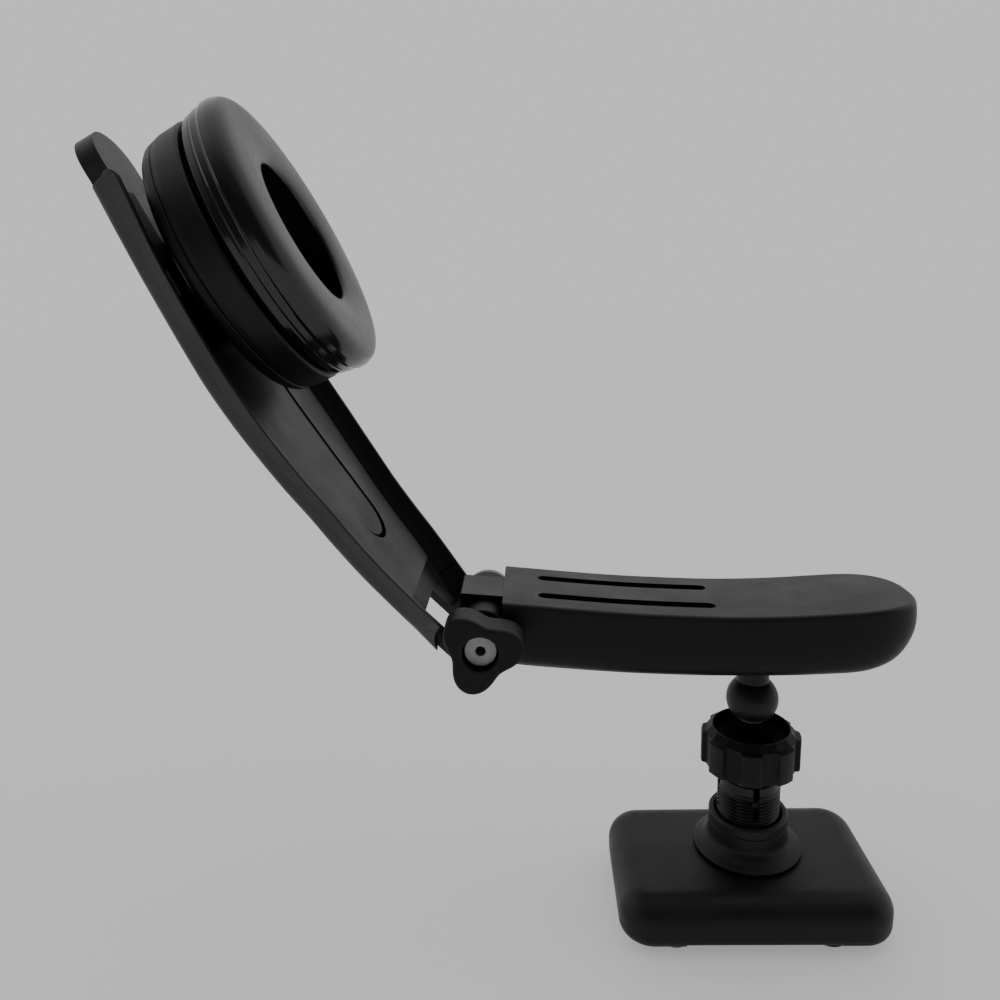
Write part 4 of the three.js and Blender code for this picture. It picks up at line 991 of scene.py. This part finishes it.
# ============================================================ suction head
def make_head():
    prof = [(3.7, -35.15), (17.2, -35.15), (17.5, -34.85), (17.5, -28.4)] + fillet([(17.5, -28.2, 0), (18.2, -27.85, 0.8), (35.6, -27.2, 4), (38.6, -26.2, 2.0), (39.9, -24.6, 1.6), (40.3, -22.6, 0.2), (40.1, -22.32, 0.1), (38.7, -22.32, 0.1), (38.2, -24.1, 0.6), (35.4, -25.4, 1), (17, -26.2, 0.5), (10, -26.2, 0.3), (10, -33.6, 0.3), (3.7, -33.6, 0)], 0.3, closed=False, seg=5)
    back = solid("head_back_moulding", *lathe(prof, 168, head))
    for u, y in ((0, -14), (0, 14), (-13.5, 0)):
        boolean(back, "DIFFERENCE", solid("c", *lathe([(0, -40), (1.65, -40), (1.65, -30.5), (0, -30.5)], 32, lambda a, b, h, u=u, y=y: head(-u + a, y + b, h))))
    dress(tidy(back), "upper_arm", "band", ("head_back_cover",), sharp=34)

    prof = fillet([(3.7, -22.2, 0.1), (40.1, -22.2, 0.1), (40.5, -21.8, 0.3), (40.8, -20.2, 1.5), (41.0, -14.0, 0.5), (40.4, -13.25, 0.25), (39.2, -13.2, 0.1), (39.3, -20.8, 0.3), (23.8, -20.8, 0.2), (23.4, -12.95, 0.2), (21.8, -12.95, 0.2), (21.8, -20.8, 0.2), (3.7, -20.8, 0.1)], 0.3, seg=5)
    dress(solid("head_housing_moulding", *lathe(prof, 168, head)), "upper_arm", "band", ("head_housing",), sharp=34)

    face = spline([(21.45, -1.1), (21.62, -0.55), (22.1, -0.1), (23.2, 0.33), (25.0, 0.72), (27.5, 1.05), (30.5, 1.2), (33.5, 1.17), (36.0, 1.05), (38.0, 0.78), (39.4, 0.36), (40.5, -0.28), (41.35, -1.2), (41.93, -2.3), (42.25, -3.25)], 5)
    side = fillet([(42.35, -3.6, 0), (42.4, -5.5, 0.3), (41.9, -6.1, 0.25), (41.78, -6.5, 0.3), (41.9, -8.2, 0.3), (41.45, -8.8, 0.25), (41.55, -9.4, 0.3), (41.3, -11.1, 0.4), (40.2, -11.7, 0.3), (39.4, -12.75, 0.15), (37.8, -12.8, 0.2), (39.3, -5, 0.8), (38.4, -2, 1.5), (35.5, -0.9, 1.5), (30, -0.6, 1.5), (25.8, -1.0, 1.0), (23.2, -2.6, 0.6), (23.0, -12.55, 0.2), (21.4, -12.6, 0.15), (21.4, -1.4, 0)], 0.3, closed=False, seg=4)
    cup = solid("suction_cup_moulding", *lathe(face + side, 192, head))
    g = math.radians(116)
    outline = fillet([(40.8, -3.3, 0), (43.4, -3.1, 1.4), (44.3, 0, 2.0), (43.4, 3.1, 1.4), (40.8, 3.3, 0)], 1.0, closed=True, seg=6)
    tab = solid("c", *prism(outline, -3.3, -1.95, lambda a, b, h: head(a * math.cos(g) - b * math.sin(g), a * math.sin(g) + b * math.cos(g), h)))
    m = tab.modifiers.new("edge", "BEVEL")
    m.width, m.segments, m.limit_method = 0.3 * MM, 3, "ANGLE"
    bake(tab)
    boolean(cup, "UNION", tab)
    dress(tidy(cup), "upper_arm", "cup", ("suction_cup",), sharp=36)

    prof = fillet([(0, -14), (20.0, -14, 0.3), (20.4, -13.6, 0.3), (20.4, -12.5, 0.4), (19.6, -11.7, 0.5), (16.5, -11.6, 0.3), (16.0, -11.9, 0.15), (12.2, -11.9, 0.15), (11.8, -11.6, 0.3), (6.4, -11.6, 0.6), (4.2, -10.45, 0.7), (0, -10.4)], 0.3, closed=False, seg=4)
    dress(solid("pressure_disc_moulding", *lathe(prof, 128, head)), "stem", "satin", ("pressure_disc",), sharp=40)
    stem = solid("pull_stem_turned", *lathe(fillet([(0, -45.4), (2.7, -45.4, 0.4), (3.2, -44.9, 0.3), (3.2, -14.3, 0.1), (0, -14.3)], 0.2, closed=False), 80, head))
    boolean(stem, "DIFFERENCE", solid("c", *lathe([(0, -9), (1.9, -9), (1.9, 9), (0, 9)], 48, lambda a, b, h: head(a, h, -42.5 + b))))
    dress(tidy(stem), "stem", "stem", ("pull_stem",))
    pin = fillet([(0, -10.2), (1.35, -10.2, 0.1), (1.6, -9.9, 0.1), (1.6, 9.9, 0.1), (1.35, 10.2, 0.1), (0, 10.2)], 0.15, closed=False)
    dress(solid("lever_pin_turned", *lathe(pin, 64, lambda a, b, h: head(a, h, -42.5 + b))), "stem", "steel", ("lever_pin",))

    # return spring
    pts, verts, faces = 210, [], []
    for i in range(pts + 1):
        t = i / pts
        a = t * TAU * 3.5
        c = Vector((6.2 * math.cos(a), 6.2 * math.sin(a), -19 + 4 * t))
        tan = Vector((-6.2 * math.sin(a), 6.2 * math.cos(a), 4 / (TAU * 3.5))).normalized()
        rad = Vector((math.cos(a), math.sin(a), 0))
        up = tan.cross(rad)
        for k in range(12):
            q = TAU * k / 12
            p = c + rad * 0.45 * math.cos(q) + up * 0.45 * math.sin(q)
            verts.append(head(*p))
    for i in range(pts):
        for k in range(12):
            j = (k + 1) % 12
            faces.append((i * 12 + k, i * 12 + j, (i + 1) * 12 + j, (i + 1) * 12 + k))
    faces += [tuple(range(12)), tuple(pts * 12 + k for k in range(12))]
    dress(solid("return_spring_coil", verts, faces), "upper_arm", "steel", ("return_spring",))

    # lever: eye, flat bar, rounded finger end
    top = lambda u: -37.9 - 0.04 * max(u, 0)
    tip, T, hw = 52, 6.8, 10.5
    prof = fillet([(3.2, -41.9, 2), (2.4, -40.3, 1.5), (1.4, -38.8, 1.0), (-0.6, top(0.6) - 0.1, 1.2), (-4, top(4), 2), (-tip - 1, top(tip + 1), 0), (-tip - 1, top(tip) - T + 0.6, 0), (-20, top(20) - T, 6), (-8, -45.5, 4), (-3, -45.9, 3), (0.8, -45.8, 1.5), (2.6, -44.9, 1.2), (3.3, -43.5, 1.5)], 1.0, seg=6)
    lev = solid("suction_lever_moulding", *prism(prof, -hw - 1, hw + 1, lambda a, b, h: head(a, h, b)))
    plan = [(8, -hw), (8, hw)]
    for i in range(41):
        t = math.pi * i / 40
        plan.append((-(tip - 11) - 11 * math.sin(t) ** 0.9, hw * math.cos(t)))
    boolean(lev, "INTERSECT", solid("c", *prism(plan, -60, -30, head)))
    boolean(lev, "DIFFERENCE", solid("c", *prism(fillet([(-6, -3.6, 1.5), (12, -3.6, 0), (12, 3.6, 0), (-6, 3.6, 1.5)], 1, seg=5), -60, -30, head)))
    boolean(lev, "DIFFERENCE", solid("c", *lathe([(0, -20), (1.74, -20), (1.74, 20), (0, 20)], 48, lambda a, b, h: head(a, h, -42.5 + b))))
    for k in range(5):                               # grip grooves across the back of the finger end
        u = 33 + 3.1 * k
        z = top(u) - T + 0.05 + (0.6 * (u - 20) / 32)
        boolean(lev, "DIFFERENCE", solid("c", *lathe([(0, -6.2), (0.7, -6.2), (0.7, 6.2), (0, 6.2)], 20, lambda a, b, h, u=u, z=z: head(-u + a, h, z - 0.15 + b))))
    dress(tidy(lev), "lever", "satin", ("suction_lever",), sharp=34, bevel=0.4, segments=3, limit=38)


make_camera()
make_materials()
make_floor()
make_world()
make_base()
make_socket()
make_lower_arm()
make_hinge()
make_upper_arm()
make_head()
